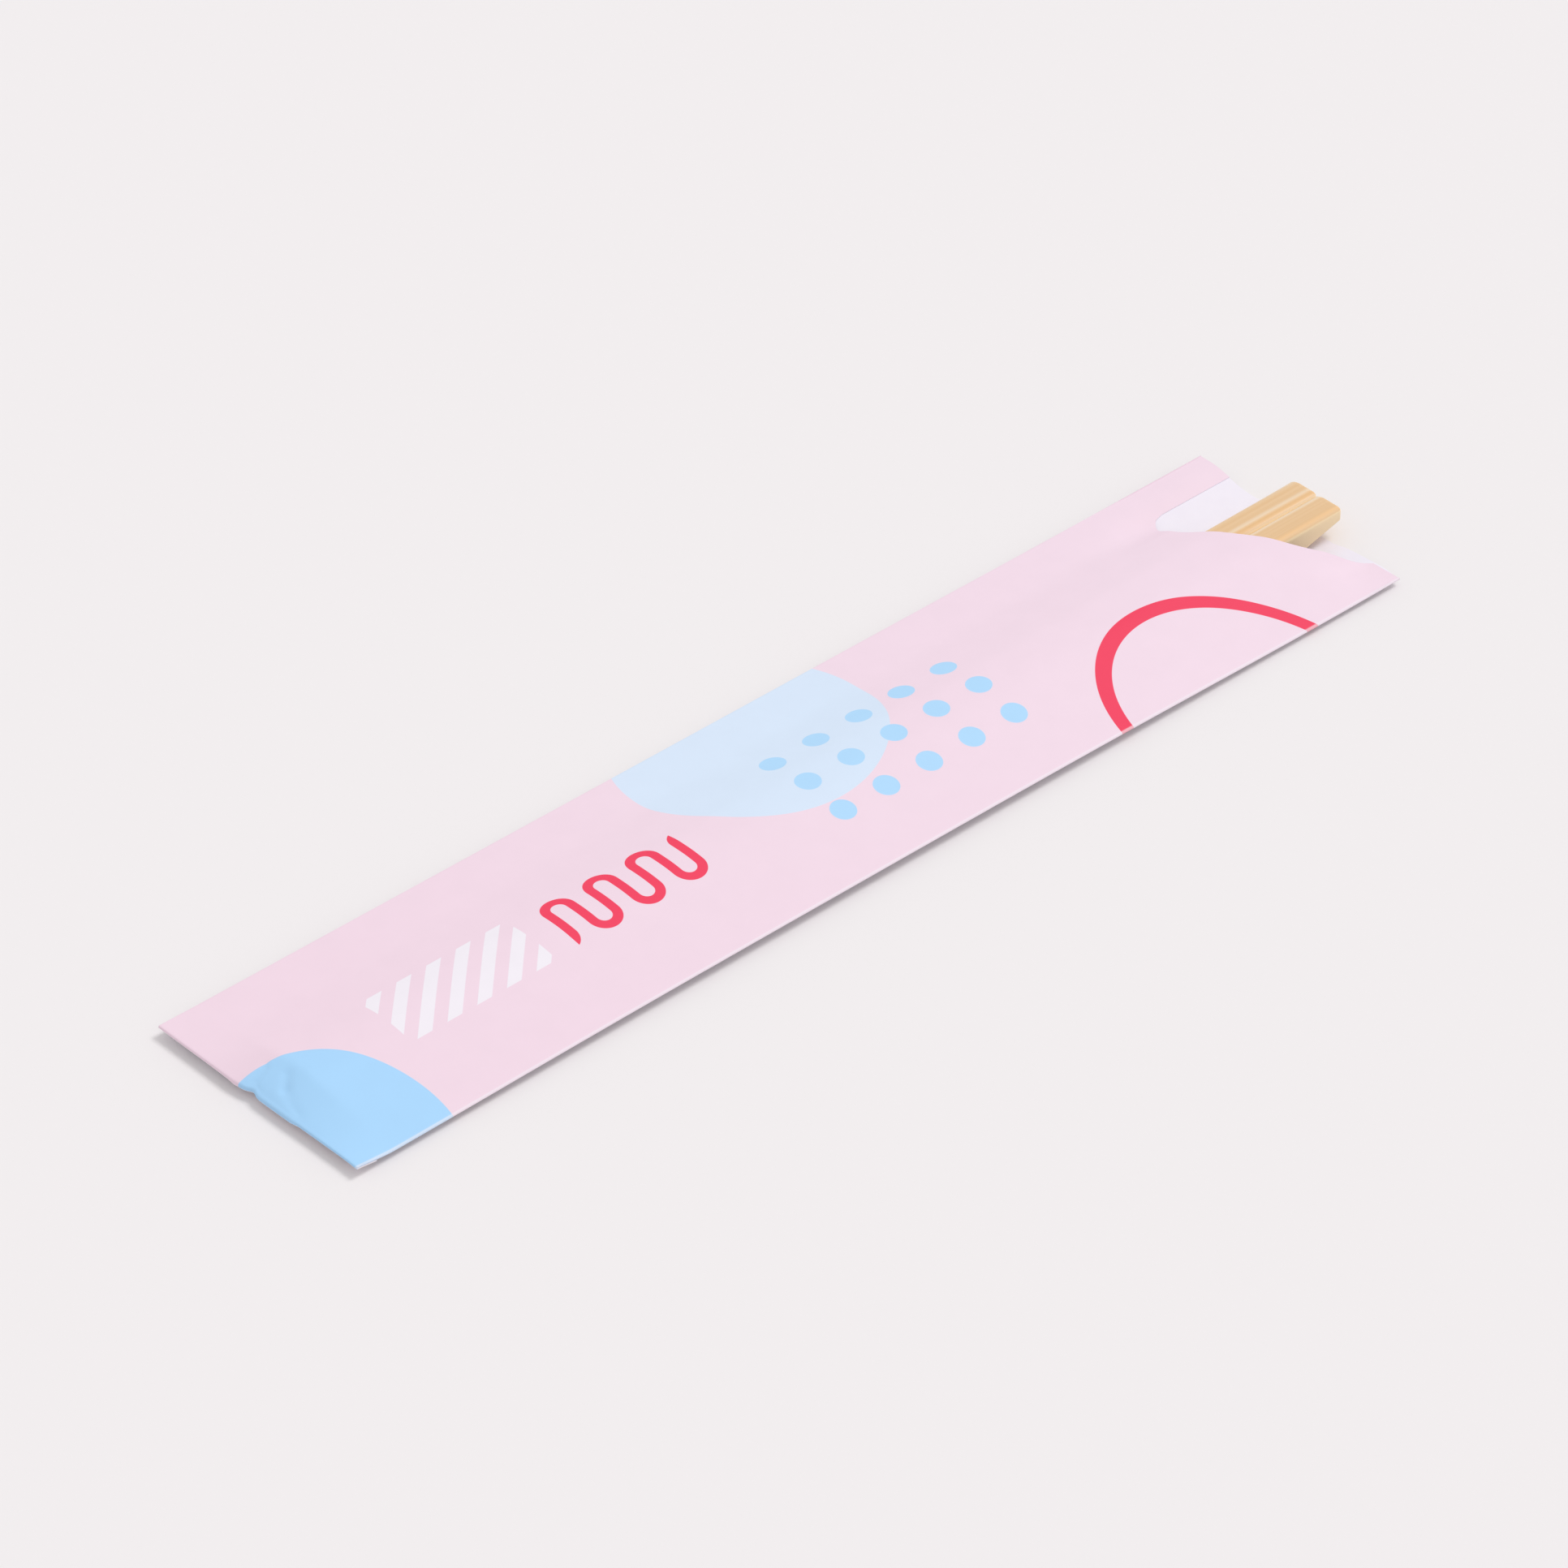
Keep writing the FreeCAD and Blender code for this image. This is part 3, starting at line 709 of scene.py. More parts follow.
@dataclass
class Chopstick:
    """One tapered stick with soft corners, a rounded head and a small round tip."""

    side: Side
    axis: float
    grain: float
    bands: tuple[tuple[float, Shade], ...]
    bed: float = 0.28
    start: float = -101.75
    end: float = 108.25
    head_width: float = 5.39
    head_height: float = 5.0
    corner: float = 0.9
    corner_steps: int = 8
    tip_width: float = 3.4
    tip_height: float = 3.4
    tip_round: float = 0.6
    tip_steps: int = 4
    slant: float = 10.2
    slant_rise: float = 2.6
    end_deep: float = 1.1
    end_round: Pair = (1.85, 0.85)
    end_sweep: float = math.radians(84)
    end_steps: int = 7
    smooth_under: float = math.radians(35)
    finish: Bamboo = field(default_factory=Bamboo)

    def ends(self, mesh: bpy.types.Mesh, place: float) -> None:
        """Selects the faces whose middle lies at an end.

        Args:
            mesh: The stick's mesh.
            place: Where the end is along the stick, in mm.
        """
        pick(mesh, faces=[f for f in mesh.polygons if abs(f.center.x - place * MM) < NEAR])

    def build(self) -> bpy.types.Object:
        """Builds the stick and its finish.

        Returns:
            The finished piece.
        """
        deselect_all()
        straight = self.end - self.slant
        middle = ((self.start + straight) / 2 * MM, self.axis * MM,
                  (self.bed + self.head_height / 2) * MM)
        bpy.ops.mesh.primitive_cube_add(size=1, location=middle, scale=(
            (straight - self.start) * MM, self.head_width * MM, self.head_height * MM))
        stick = bpy.context.active_object
        stick.name = self.side.value + "_bamboo"
        bpy.ops.object.transform_apply(location=True, rotation=True, scale=True)
        mesh = stick.data
        self.round_long_edges(mesh)
        self.taper(mesh)
        self.round_tip(mesh)
        self.draw_head(mesh)
        mesh.materials.append(self.finish.make(self.grain, self.axis, self.bands))
        deselect_all()
        stick.select_set(True)
        bpy.ops.object.shade_smooth_by_angle(angle=self.smooth_under)
        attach(stick, "root")
        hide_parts(self.side.value)
        return stick

    def round_long_edges(self, mesh: bpy.types.Mesh) -> None:
        """Bevels the four edges that run the stick's length.

        Args:
            mesh: The stick's mesh, which is still a plain block.
        """
        runs = [[mesh.vertices[corner].co.x for corner in edge.vertices] for edge in mesh.edges]
        pick(mesh, edges=[edge for edge, x in zip(mesh.edges, runs) if x[0] != x[1]])
        with editing():
            bpy.ops.mesh.bevel(offset=self.corner * MM, segments=self.corner_steps, profile=0.5)

    def taper(self, mesh: bpy.types.Mesh) -> None:
        """Draws the far end in to the tip's size, with its underside kept on the bed.

        Args:
            mesh: The stick's mesh.
        """
        self.ends(mesh, self.start)
        with editing():
            bpy.ops.transform.resize(
                value=(1, self.tip_width / self.head_width, self.tip_height / self.head_height),
                center_override=(self.start * MM, self.axis * MM, self.bed * MM))

    def round_tip(self, mesh: bpy.types.Mesh) -> None:
        """Rounds the rim of the tip's end face.

        Args:
            mesh: The stick's mesh.
        """
        self.ends(mesh, self.start)
        with editing():
            bpy.ops.mesh.region_to_loop()
            bpy.ops.mesh.bevel(offset=self.tip_round * MM, segments=self.tip_steps, profile=0.5,
                               clamp_overlap=True)

    def draw_head(self, mesh: bpy.types.Mesh) -> None:
        """Draws the head out of the body: first the slant under it, then its rounded end.

        Args:
            mesh: The stick's mesh.
        """
        self.ends(mesh, self.end - self.slant)
        thin = self.head_height - self.slant_rise
        high = self.bed + self.head_height
        width, height, place = self.head_width, thin, 0.0
        with editing():
            self.draw_out(self.slant - self.end_deep, 1, thin / self.head_height, high)
            for step in range(1, self.end_steps + 1):
                angle = step / self.end_steps * self.end_sweep
                reach = self.end_deep * math.sin(angle) / math.sin(self.end_sweep)
                wide = self.head_width - 2 * self.end_round[0] * (1 - math.cos(angle))
                tall = thin - 2 * self.end_round[1] * (1 - math.cos(angle))
                self.draw_out(reach - place, wide / width, tall / height, high - thin / 2)
                width, height, place = wide, tall, reach

    def draw_out(self, reach: float, wide: float, tall: float, level: float) -> None:
        """Draws the selected end face out along the stick and scales it.

        Args:
            reach: How far it goes, in mm.
            wide: Its new width, as a share of the old.
            tall: Its new height, as a share of the old.
            level: The height that the scaling keeps in place, in mm.
        """
        bpy.ops.mesh.extrude_region_move(
            TRANSFORM_OT_translate={"value": (reach * MM, 0, 0)})
        bpy.ops.transform.resize(
            value=(1, wide, tall), center_override=(0, self.axis * MM, level * MM))


# The sleeve


@dataclass
class PaperSleeve:
    """The printed sheet, folded flat round the pair, sealed at its tail and open at its mouth."""

    tail: float = -108.25
    length: float = 213.4
    half_end: float = 22.0
    half_waist: float = 21.93
    waist_place: float = 112.0
    thickness: float = 0.13
    layer: float = 0.135
    front_fold: float = 1.75
    front_dips: tuple[Triple, ...] = ((0, 40, 0.62), (198, 38, 0.72))
    back_fold: float = 1.72
    back_dips: tuple[Triple, ...] = ((185, 30, 0.1),)
    fold_round: float = 0.13
    fold_chart: float = 0.3
    lap_back: float = 4.68
    lap_front: float = -7.28
    lap_ease: float = 2.0
    stick_length: float = 210.0
    stick_width: Pair = (3.4, 5.35)
    stick_height: Pair = (3.4, 5.0)
    stick_corner: Pair = (0.7, 1.1)
    tips: float = 6.5
    pair_middle: float = -1.3
    pair_pitch: float = 5.41
    bed: float = 0.28
    slack: float = 0.12
    crown_lift: float = 0.3
    crown_round: float = 160.0
    flank_start: float = 0.1
    flank_tries: int = 10
    flank_blend: float = 0.5
    crown_blend: float = 0.35
    front_flank: Triple = (0.92, 0.30, 0.70)
    back_flank: Triple = (0.30, 0.36, 0.64)
    front_ease: float = 0.12
    back_swell: Pair = (0.36, 0.52)
    ground_gap: float = 0.001
    layer_gap: float = 0.003
    tail_height: float = 1.88
    low_opens: float = 1.1
    top_opens: float = 0.9
    tail_blend: float = 0.10
    crease_ease: Pair = (0.4, 1.6)
    ripple: float = 0.035
    ripple_runs: tuple[Triple, Triple] = ((17.0, 9.0, 0.0), (29.0, -13.0, 1.0))
    ripple_ends: Pair = (20.0, 10.0)
    ripple_half: float = 22.5
    back_prong: tuple[Pair, Pair] = ((34.5, 20.0), (8.5, 7.0))
    front_prong: tuple[Pair, Pair] = ((12.0, 12.0), (11.0, 5.5))
    flap: float = 3.9
    turn_chart: float = 0.8
    notch_corner: Pair = (-16.2, 0.0)
    notch_middle: Pair = (10.7, -15.0)
    notch_round: Pair = (5.1, 4.4)
    notch_power: float = 1.6
    notch_bow: float = 3.5
    lip: float = 0.4
    lip_ends: Pair = (-21.5, -7.5)
    lip_ease: float = 3.0
    pinch_reach: Pair = (0.3, 1.3)
    nip_place: Pair = (1.3, 0.95)
    nip_deep: float = 0.5
    nip_lift: float = 0.12
    drawn_in: float = 0.5
    drawn_ends: tuple[Pair, Pair] = ((7.0, 6.0), (30.0, 12.0))
    top_columns: int = 110
    low_columns: int = 24
    fold_columns: int = 6
    mouth_reach: float = 26.0
    tail_reach: float = 13.0
    tail_crowding: float = 1.15
    rows_tail: int = 30
    rows_middle: int = 74
    rows_mouth: int = 34
    rows_prong: int = 20
    rows_turn: int = 7
    rows_flap: int = 7
    smooth_under: float = math.radians(50)
    creases: tuple[Crease, ...] = (
        Crease((0.3, 2.4), (5.4, 3.5), 0.30, 0.17),
        Crease((0.5, 1.5), (4.7, 2.7), 0.30, 0.17),
        Crease((5.6, -0.7), (3.6, -2.7), 0.8, 0.22),
        Crease((3.6, -2.7), (1.6, -7.5), 0.9, 0.12),
    )
    blank: Blank = field(default_factory=Blank)
    printed: PrintedPaper = field(default_factory=PrintedPaper)
    plain: PlainPaper = field(default_factory=PlainPaper)

    def half_width(self, s: np.ndarray) -> np.ndarray:
        """Gives half the sleeve's width.

        Args:
            s: Places along the sleeve, in mm from the tail.

        Returns:
            The half widths, in mm.
        """
        run = np.where(s < self.waist_place, self.waist_place, self.length - self.waist_place)
        flare = ((s - self.waist_place) / run) ** 2
        return self.half_waist + (self.half_end - self.half_waist) * flare

    def flank_rise(self, share: np.ndarray, form: Triple) -> tuple[np.ndarray, float]:
        """Gives the form of a flank between its fold, at 0, and the stick's corner, at 1.

        Args:
            share: How far up the flank a point is, across.
            form: The slope at the fold as a share of the mean, and where it starts and
                ends to steepen.

        Returns:
            The height as a share of the whole, and the slope at the corner.
        """
        foot, low, high = form
        steep = foot + (1 - foot) / (1 - (low + high) / 2)
        step = np.clip((share - low) / (high - low), 0, 1)
        bend = (high - low) * (step ** 3 - step ** 4 / 2) + np.maximum(share - high, 0)
        return foot * share + (steep - foot) * bend, steep

    def fold_height(self, s: np.ndarray, front: bool) -> np.ndarray:
        """Gives the height of a fold's middle, which dips near the sleeve's ends.

        Args:
            s: Places along the sleeve, in mm from the tail.
            front: Whether it is the front fold.

        Returns:
            The heights, in mm.
        """
        height, dips = ((self.front_fold, self.front_dips) if front
                        else (self.back_fold, self.back_dips))
        return height - sum(depth * hump(s, place, spread) for place, spread, depth in dips)

    def top(self, s: np.ndarray, y: np.ndarray) -> np.ndarray:
        """Gives the height of the upper panel's middle surface over the sticks.

        Args:
            s: Places along the sleeve, in mm from the tail.
            y: Places across it, in mm from mid-width.

        Returns:
            The heights, in mm.
        """
        share = np.clip((s - self.tips) / self.stick_length, 0, 1)
        width, height, corner = (tip + (head - tip) * share for tip, head in (
            self.stick_width, self.stick_height, self.stick_corner))
        axis = self.bed + height - corner
        reach = corner + self.slack + self.thickness / 2
        flanks = []
        for sign, flank in ((-1, self.front_flank), (1, self.back_flank)):
            base = self.fold_height(s, sign < 0) + self.fold_round
            centre = axis - base
            edge = sign * self.pair_middle + self.pair_pitch / 2 + width / 2 - corner
            run = self.half_width(s) - edge
            _, steep = self.flank_rise(share, flank)
            # The slope where the flank meets the corner's round is found by repetition.
            angle = np.arctan2(centre, run) + self.flank_start
            for _ in range(self.flank_tries):
                level = run - reach * np.sin(angle)
                lift = centre + reach * np.cos(angle)
                angle = np.arctan(steep * lift / level)
            place = (self.half_width(s) - sign * y) / level
            form, _ = self.flank_rise(np.minimum(place, 1), flank)
            flanks.append(base + lift * (form + steep * np.maximum(place - 1, 0)))
        across = y - self.pair_middle
        crown = axis + reach + self.crown_lift - across * across / (2 * self.crown_round)
        return soft_least(soft_least(*flanks, self.flank_blend), crown, self.crown_blend)

    def lap_zone(self, y: np.ndarray) -> np.ndarray:
        """Says where the underside is double: 1 under the sticks, 0 beside them."""
        return (rise((y - self.lap_front) / self.lap_ease + 1)
                * rise((self.lap_back - y) / self.lap_ease + 1))

    def low(self, s: np.ndarray, y: np.ndarray, front: bool) -> np.ndarray:
        """Gives the height of the lower panel's middle surface.

        Args:
            s: Places along the sleeve, in mm from the tail.
            y: Places across it.
            front: Whether it is the part from the front fold, which lies on the other.

        Returns:
            The heights, in mm.
        """
        edge, sign, layers = (self.lap_front, -1, 1) if front else (self.lap_back, 1, 0)
        foot = self.thickness / 2 + self.ground_gap + layers * (self.layer + self.layer_gap)
        share = np.clip(sign * (y - edge) / (self.half_width(s) - sign * edge), 0, 1)
        if front:
            form = share * (2 - share) * rise(share / self.front_ease)
        else:
            form = rise((share - self.back_swell[0]) / self.back_swell[1])
        full = foot + (self.fold_height(s, front) - self.fold_round - foot) * form
        sealed = self.tail_height - self.layer - (0 if front else self.layer * self.lap_zone(y))
        return sealed + (full - sealed) * rise(s / (self.tips + self.low_opens))

    def upper(self, s: np.ndarray, y: np.ndarray) -> np.ndarray:
        """Gives the height of the upper panel, with its fall to the tail and its loose prongs.

        Args:
            s: Places along the sleeve, in mm from the tail.
            y: Places across it.

        Returns:
            The heights, in mm.
        """
        full = self.top(s, y)
        share = soft_least(s / (self.tips + self.top_opens), np.ones_like(s), self.tail_blend)
        height = self.tail_height + (full - self.tail_height) * np.maximum(share, 0)
        start, run = self.crease_ease
        for crease in self.creases:
            height = height - crease.press(s, y) * rise((s - start) / run)
        from_mouth = self.length - s
        waves = 1.0
        for along, over_width, phase in self.ripple_runs:
            waves = waves * np.sin(s / along + y / over_width + phase)
        ends = rise(s / self.ripple_ends[0]) * rise(from_mouth / self.ripple_ends[1])
        height = height + self.ripple * waves * ends * (1 - (y / self.ripple_half) ** 2)
        for front, ((start, run), (inner, wide)) in ((False, self.back_prong),
                                                     (True, self.front_prong)):
            outward = -y if front else y
            droop = rise((start - from_mouth) / run) * rise((outward - inner) / wide)
            height = height + (self.low(s, y, front) + self.layer - height) * droop
        return height

    def notch(self, y: np.ndarray) -> np.ndarray:
        """Says how far behind the mouth the upper panel ends, in mm.

        Args:
            y: Places across the sleeve, in front of the notch's back edge.

        Returns:
            The distances, 0 or less.
        """
        corner, middle, half = self.notch_corner, self.notch_middle, self.notch_round
        bottom = middle[1] - half[1]
        share = np.clip((y - corner[0]) / (middle[0] - corner[0]), 0, 1)
        slant = corner[1] + (bottom - corner[1]) * share
        bow = self.notch_bow * (1 - (2 * share - 1) ** 4)
        off = np.clip((y - middle[0]) / half[0], 0, 1)
        power = self.notch_power
        turn = middle[1] - half[1] * (1 - off ** power) ** (1 / power)
        return np.where(y < middle[0], slant - bow, turn)

    def mouth(self, y: np.ndarray) -> np.ndarray:
        """Says how far past the mouth's corners the lower panel stands out at the front."""
        start, end = self.lip_ends
        return self.lip * rise((y - start) / self.lip_ease) * rise((end - y) / self.lip_ease)

    def zones(self) -> list[tuple[Zone, np.ndarray]]:
        """Lists the stretches of the section in order, each with its columns' shares.

        Returns:
            Zones and shares; a fold leaves out its end columns, which its neighbours hold.
        """
        low = np.linspace(0, 1, self.low_columns + 1)
        fold = np.linspace(0, 1, self.fold_columns + 1)[1:-1]
        top = np.linspace(0, 1, self.top_columns + 1)
        return list(zip(Zone, (low, fold, top, fold, low)))

    def across(self, zone: Zone, share: np.ndarray,
               s: np.ndarray) -> tuple[np.ndarray, np.ndarray, np.ndarray]:
        """Says where a column's points lie across the sleeve, and how high.

        Args:
            zone: The stretch of the section.
            share: How far through it each column is.
            s: Places along the sleeve, one row of them for each row of the sheet.

        Returns:
            Places across, heights, and places on the flat sheet from the front fold.
        """
        squeeze = rise(s / (self.tips + self.low_opens))
        radius = self.layer / 2 + (self.fold_round - self.layer / 2) * squeeze
        half = self.half_width(s)
        edge = half - radius
        if zone is Zone.TOP:
            y = edge * (2 * share - 1)
            return y, self.upper(s, y), self.half_end * (1 + y / half)
        if zone is Zone.LOW_FRONT:
            y = self.lap_back + (-edge - self.lap_back) * share
            return y, self.low(s, y, True), -(y + half)
        if zone is Zone.LOW_BACK:
            y = edge + (self.lap_front - edge) * share
            return y, self.low(s, y, False), 2 * self.half_end + half - y
        front = zone is Zone.FRONT_FOLD
        sealed = self.tail_height - self.layer / 2
        middle = sealed + (self.fold_height(s, front) - sealed) * squeeze
        turn = np.pi * (share - 0.5)
        out, up = edge + radius * np.cos(turn), radius * np.sin(turn)
        chart = self.fold_chart * (share - 0.5) + 0 * s
        if front:
            return -out, middle + up, chart
        return out, middle - up, chart + 2 * self.half_end

    def rows(self, ends: np.ndarray, corner: np.ndarray) -> np.ndarray:
        """Gives the places of the rows along the sleeve, for each column.

        Args:
            ends: Where each column ends at the mouth.
            corner: Where each column's last row of the notched part lies.

        Returns:
            An array of rows by columns.
        """
        start = self.tail_start
        spread = np.linspace(0, 1, self.rows_tail + 1) ** self.tail_crowding
        first = start + (self.tail_reach - start) * spread
        last = self.length - self.mouth_reach
        second = np.linspace(self.tail_reach, last, self.rows_middle + 1)[1:]
        lead = np.concatenate([first, second])[:, None] + 0 * ends[None, :]
        mouth_share = np.linspace(0, 1, self.rows_mouth + 1)[1:, None]
        prong_share = np.linspace(0, 1, self.rows_prong + 1)[1:, None]
        third = last + (corner - last) * mouth_share
        fourth = corner + (ends - corner) * prong_share
        return np.concatenate([lead, third, fourth])

    @property
    def tail_start(self) -> float:
        """Gives the place where the straight part begins, behind which the sheet turns under."""
        return 2.5 * self.layer + self.thickness / 2

    def turned(self, y: np.ndarray, z: np.ndarray) -> tuple[np.ndarray, np.ndarray, np.ndarray]:
        """Turns the sealed tube under at the tail.

        Args:
            y: Where each column lies across the sleeve at its straight part's start.
            z: How high it lies there.


        Returns:
            Places along, across and up, in rows from the flap's edge to the tail.
        """
        # The turn goes round one layer of paper, or round two where the lap is.
        axis = self.tail_height - self.layer * (1.5 + self.lap_zone(y))
        reach = z - axis
        angle = np.linspace(np.pi, 0, self.rows_turn + 1)[:-1, None]
        turn_s = self.tail_start - reach * np.sin(angle)
        turn_z = axis + reach * np.cos(angle)
        run = np.linspace(self.flap, 0, self.rows_flap + 1)[:-1, None]
        flap_s = self.tail_start + run + 0 * y
        flap_z = self.ground(flap_s, y + 0 * flap_s) - self.layer / 2 - reach
        s = np.concatenate([flap_s, turn_s])
        return s, np.broadcast_to(y, s.shape), np.concatenate([flap_z, turn_z])

    def turned_chart(self) -> np.ndarray:
        """Lists where the rows of the flap and the turn lie on the flat sheet, from the tail.

        Returns:
            The places, in mm, from the flap's edge on.
        """
        back = np.linspace(1, 0, self.rows_turn + 1)[:-1]
        turn = self.tail_start - self.turn_chart * back
        flap = turn[0] - np.linspace(self.flap, 0, self.rows_flap + 1)[:-1]
        return np.concatenate([flap, turn])

    def ground(self, s: np.ndarray, y: np.ndarray) -> np.ndarray:
        """Gives the height of the tube's lowest surface, which the flap lies against."""
        front = self.low(s, y, True)
        return np.where(y > self.lap_front, np.minimum(self.low(s, y, False), front), front)

    def pinch(self, s: np.ndarray, y: np.ndarray, z: np.ndarray) -> tuple[np.ndarray, np.ndarray]:
        """Draws the tail's edge in at the front, and nips it in one place.

        Args:
            s: Places along the sleeve, in mm from the tail.
            y: Places across it.
            z: Heights.

        Returns:
            The new places along the sleeve and heights.
        """
        near = hump(s, *self.pinch_reach)
        nip = hump(y, *self.nip_place) * near
        (back, back_ease), (front, front_ease) = self.drawn_ends
        drawn = self.drawn_in * rise((back - y) / back_ease) * rise((y + front) / front_ease)
        return s + drawn * near + self.nip_deep * nip, z + self.nip_lift * nip

    def cut_lines(self, zone: Zone, y: np.ndarray, cut: int) -> tuple[np.ndarray, np.ndarray]:
        """Says where a zone's columns end at the mouth, and where their notched part starts.

        Args:
            zone: The stretch of the section.
            y: Where its columns lie across the mouth.
            cut: The upper panel's column at the notch's back edge.

        Returns:
            Both places for each column, in mm from the mouth, 0 or less behind it.
        """
        level = self.notch_middle[1]
        if zone is Zone.TOP:
            behind = np.where(y < self.notch_corner[0], 0, self.notch(y))
            behind[cut:] = 0
            return behind, np.where(np.arange(len(y)) < cut, behind, level)
        low = zone in (Zone.LOW_FRONT, Zone.LOW_BACK)
        behind = self.mouth(y) if low else 0 * y
        if zone in (Zone.BACK_FOLD, Zone.LOW_BACK):
            return behind, 0 * y + level
        return behind, behind

    def build(self) -> bpy.types.Object:
        """Builds the sleeve and its finish.

        Returns:
            The finished piece.
        """
        zones = self.zones()
        cut_share = 0.5 + (self.notch_middle[0] + self.notch_round[0]) / (2 * self.half_end)
        cut = int(round(cut_share * self.top_columns))
        mouth = np.full(1, self.length)
        cuts = [self.cut_lines(zone, self.across(zone, share, mouth)[0].ravel(), cut)
                for zone, share in zones]
        ends, corner = (self.length + np.concatenate(line) for line in zip(*cuts))
        s = self.rows(ends, corner)
        starts = np.cumsum([0] + [len(share) for _, share in zones])
        parts = [self.across(zone, share[None, :], s[:, start:start + len(share)])
                 for (zone, share), start in zip(zones, starts)]
        y, z, v = (np.concatenate(part, axis=1) for part in zip(*parts))
        under_s, under_y, under_z = self.turned(y[0], z[0])
        under = self.turned_chart()
        u = np.concatenate([under[:, None] + 0 * under_s, s])
        v = np.concatenate([np.broadcast_to(v[0], under_s.shape), v])
        s, y, z = (np.concatenate(p) for p in ((under_s, s), (under_y, y), (under_z, z)))
        s, z = self.pinch(s, y, z)
        piece, i, j = self.fold(s, y, z, u, v)
        front_rows = len(under) + self.rows_tail + self.rows_middle + self.rows_mouth
        self.cut_notch(piece, i, j, front_rows, starts[2] + cut)
        self.thicken(piece)
        self.dress(piece)
        return piece

    def fold(self, s: np.ndarray, y: np.ndarray, z: np.ndarray, u: np.ndarray,
             v: np.ndarray) -> tuple[bpy.types.Object, np.ndarray, np.ndarray]:
        """Adds the flat sheet as a grid and folds it to its places.

        Args:
            s: Places along the sleeve, rows by columns.
            y: Places across it.
            z: Heights.
            u: Places on the flat sheet from the tail.
            v: Places on the flat sheet from the front fold.

        Returns:
            The folded sheet, and each vertex's row and column.
        """
        rows, columns = s.shape
        deselect_all()
        bpy.ops.mesh.primitive_grid_add(
            x_subdivisions=rows - 1, y_subdivisions=columns - 1, size=1, calc_uvs=False)
        piece = bpy.context.active_object
        piece.name = "paper_sleeve_printed"
        mesh = piece.data
        spot = np.empty(len(mesh.vertices) * 3)
        mesh.vertices.foreach_get("co", spot)
        spot = spot.reshape(-1, 3)
        i = np.rint((spot[:, 0] + 0.5) * (rows - 1)).astype(int)
        j = np.rint((spot[:, 1] + 0.5) * (columns - 1)).astype(int)
        folded = np.stack([s[i, j] + self.tail, y[i, j], z[i, j]], axis=1) * MM
        mesh.vertices.foreach_set("co", folded.ravel())
        layer = mesh.uv_layers.new(name=self.blank.chart)
        corner = np.empty(len(mesh.loops), int)
        mesh.loops.foreach_get("vertex_index", corner)
        chart = np.stack([u[i, j][corner], v[i, j][corner]], axis=1) / self.blank.unit
        layer.data.foreach_set("uv", chart.ravel())
        mesh.update()
        return piece, i, j

    def cut_notch(self, piece: bpy.types.Object, i: np.ndarray, j: np.ndarray, row: int,
                  column: int) -> None:
        """Cuts away the blank's spare rows in front of the notch's back edge.

        Args:
            piece: The folded sheet.
            i: Each vertex's row.
            j: Each vertex's column.
            row: The last row of the part in front of the notch's back edge.
            column: The column of that edge.
        """
        mesh = piece.data
        spare = []
        for face in mesh.polygons:
            points = list(face.vertices)
            if max(i[points]) > row and max(j[points]) <= column:
                spare.append(face)
        pick(mesh, faces=spare)
        with editing():
            bpy.ops.mesh.delete(type="FACE")

    def thicken(self, piece: bpy.types.Object) -> None:
        """Gives the sheet its two faces and its cut edge, and their finishes.

        Args:
            piece: The folded sheet.
        """
        mesh = piece.data
        highest = max(mesh.polygons, key=lambda face: face.center.z)
        if highest.normal.z < 0:
            with editing():
                bpy.ops.mesh.select_all(action="SELECT")
                bpy.ops.mesh.flip_normals()
        mesh.materials.append(self.printed.make(self.blank))
        mesh.materials.append(self.plain.make())
        wall = piece.modifiers.new("sheet", "SOLIDIFY")
        wall.thickness = self.thickness * MM
        wall.offset = 0
        wall.material_offset = Face.INSIDE.value
        wall.material_offset_rim = Face.INSIDE.value
        deselect_all()
        piece.select_set(True)
        bpy.context.view_layer.objects.active = piece
        bpy.ops.object.modifier_apply(modifier="sheet")

    def dress(self, piece: bpy.types.Object) -> None:
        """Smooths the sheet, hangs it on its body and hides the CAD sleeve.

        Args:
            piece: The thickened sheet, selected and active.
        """
        bpy.ops.object.shade_smooth_by_angle(angle=self.smooth_under)
        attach(piece, "root")
        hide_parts("paper_sleeve")


# The studio


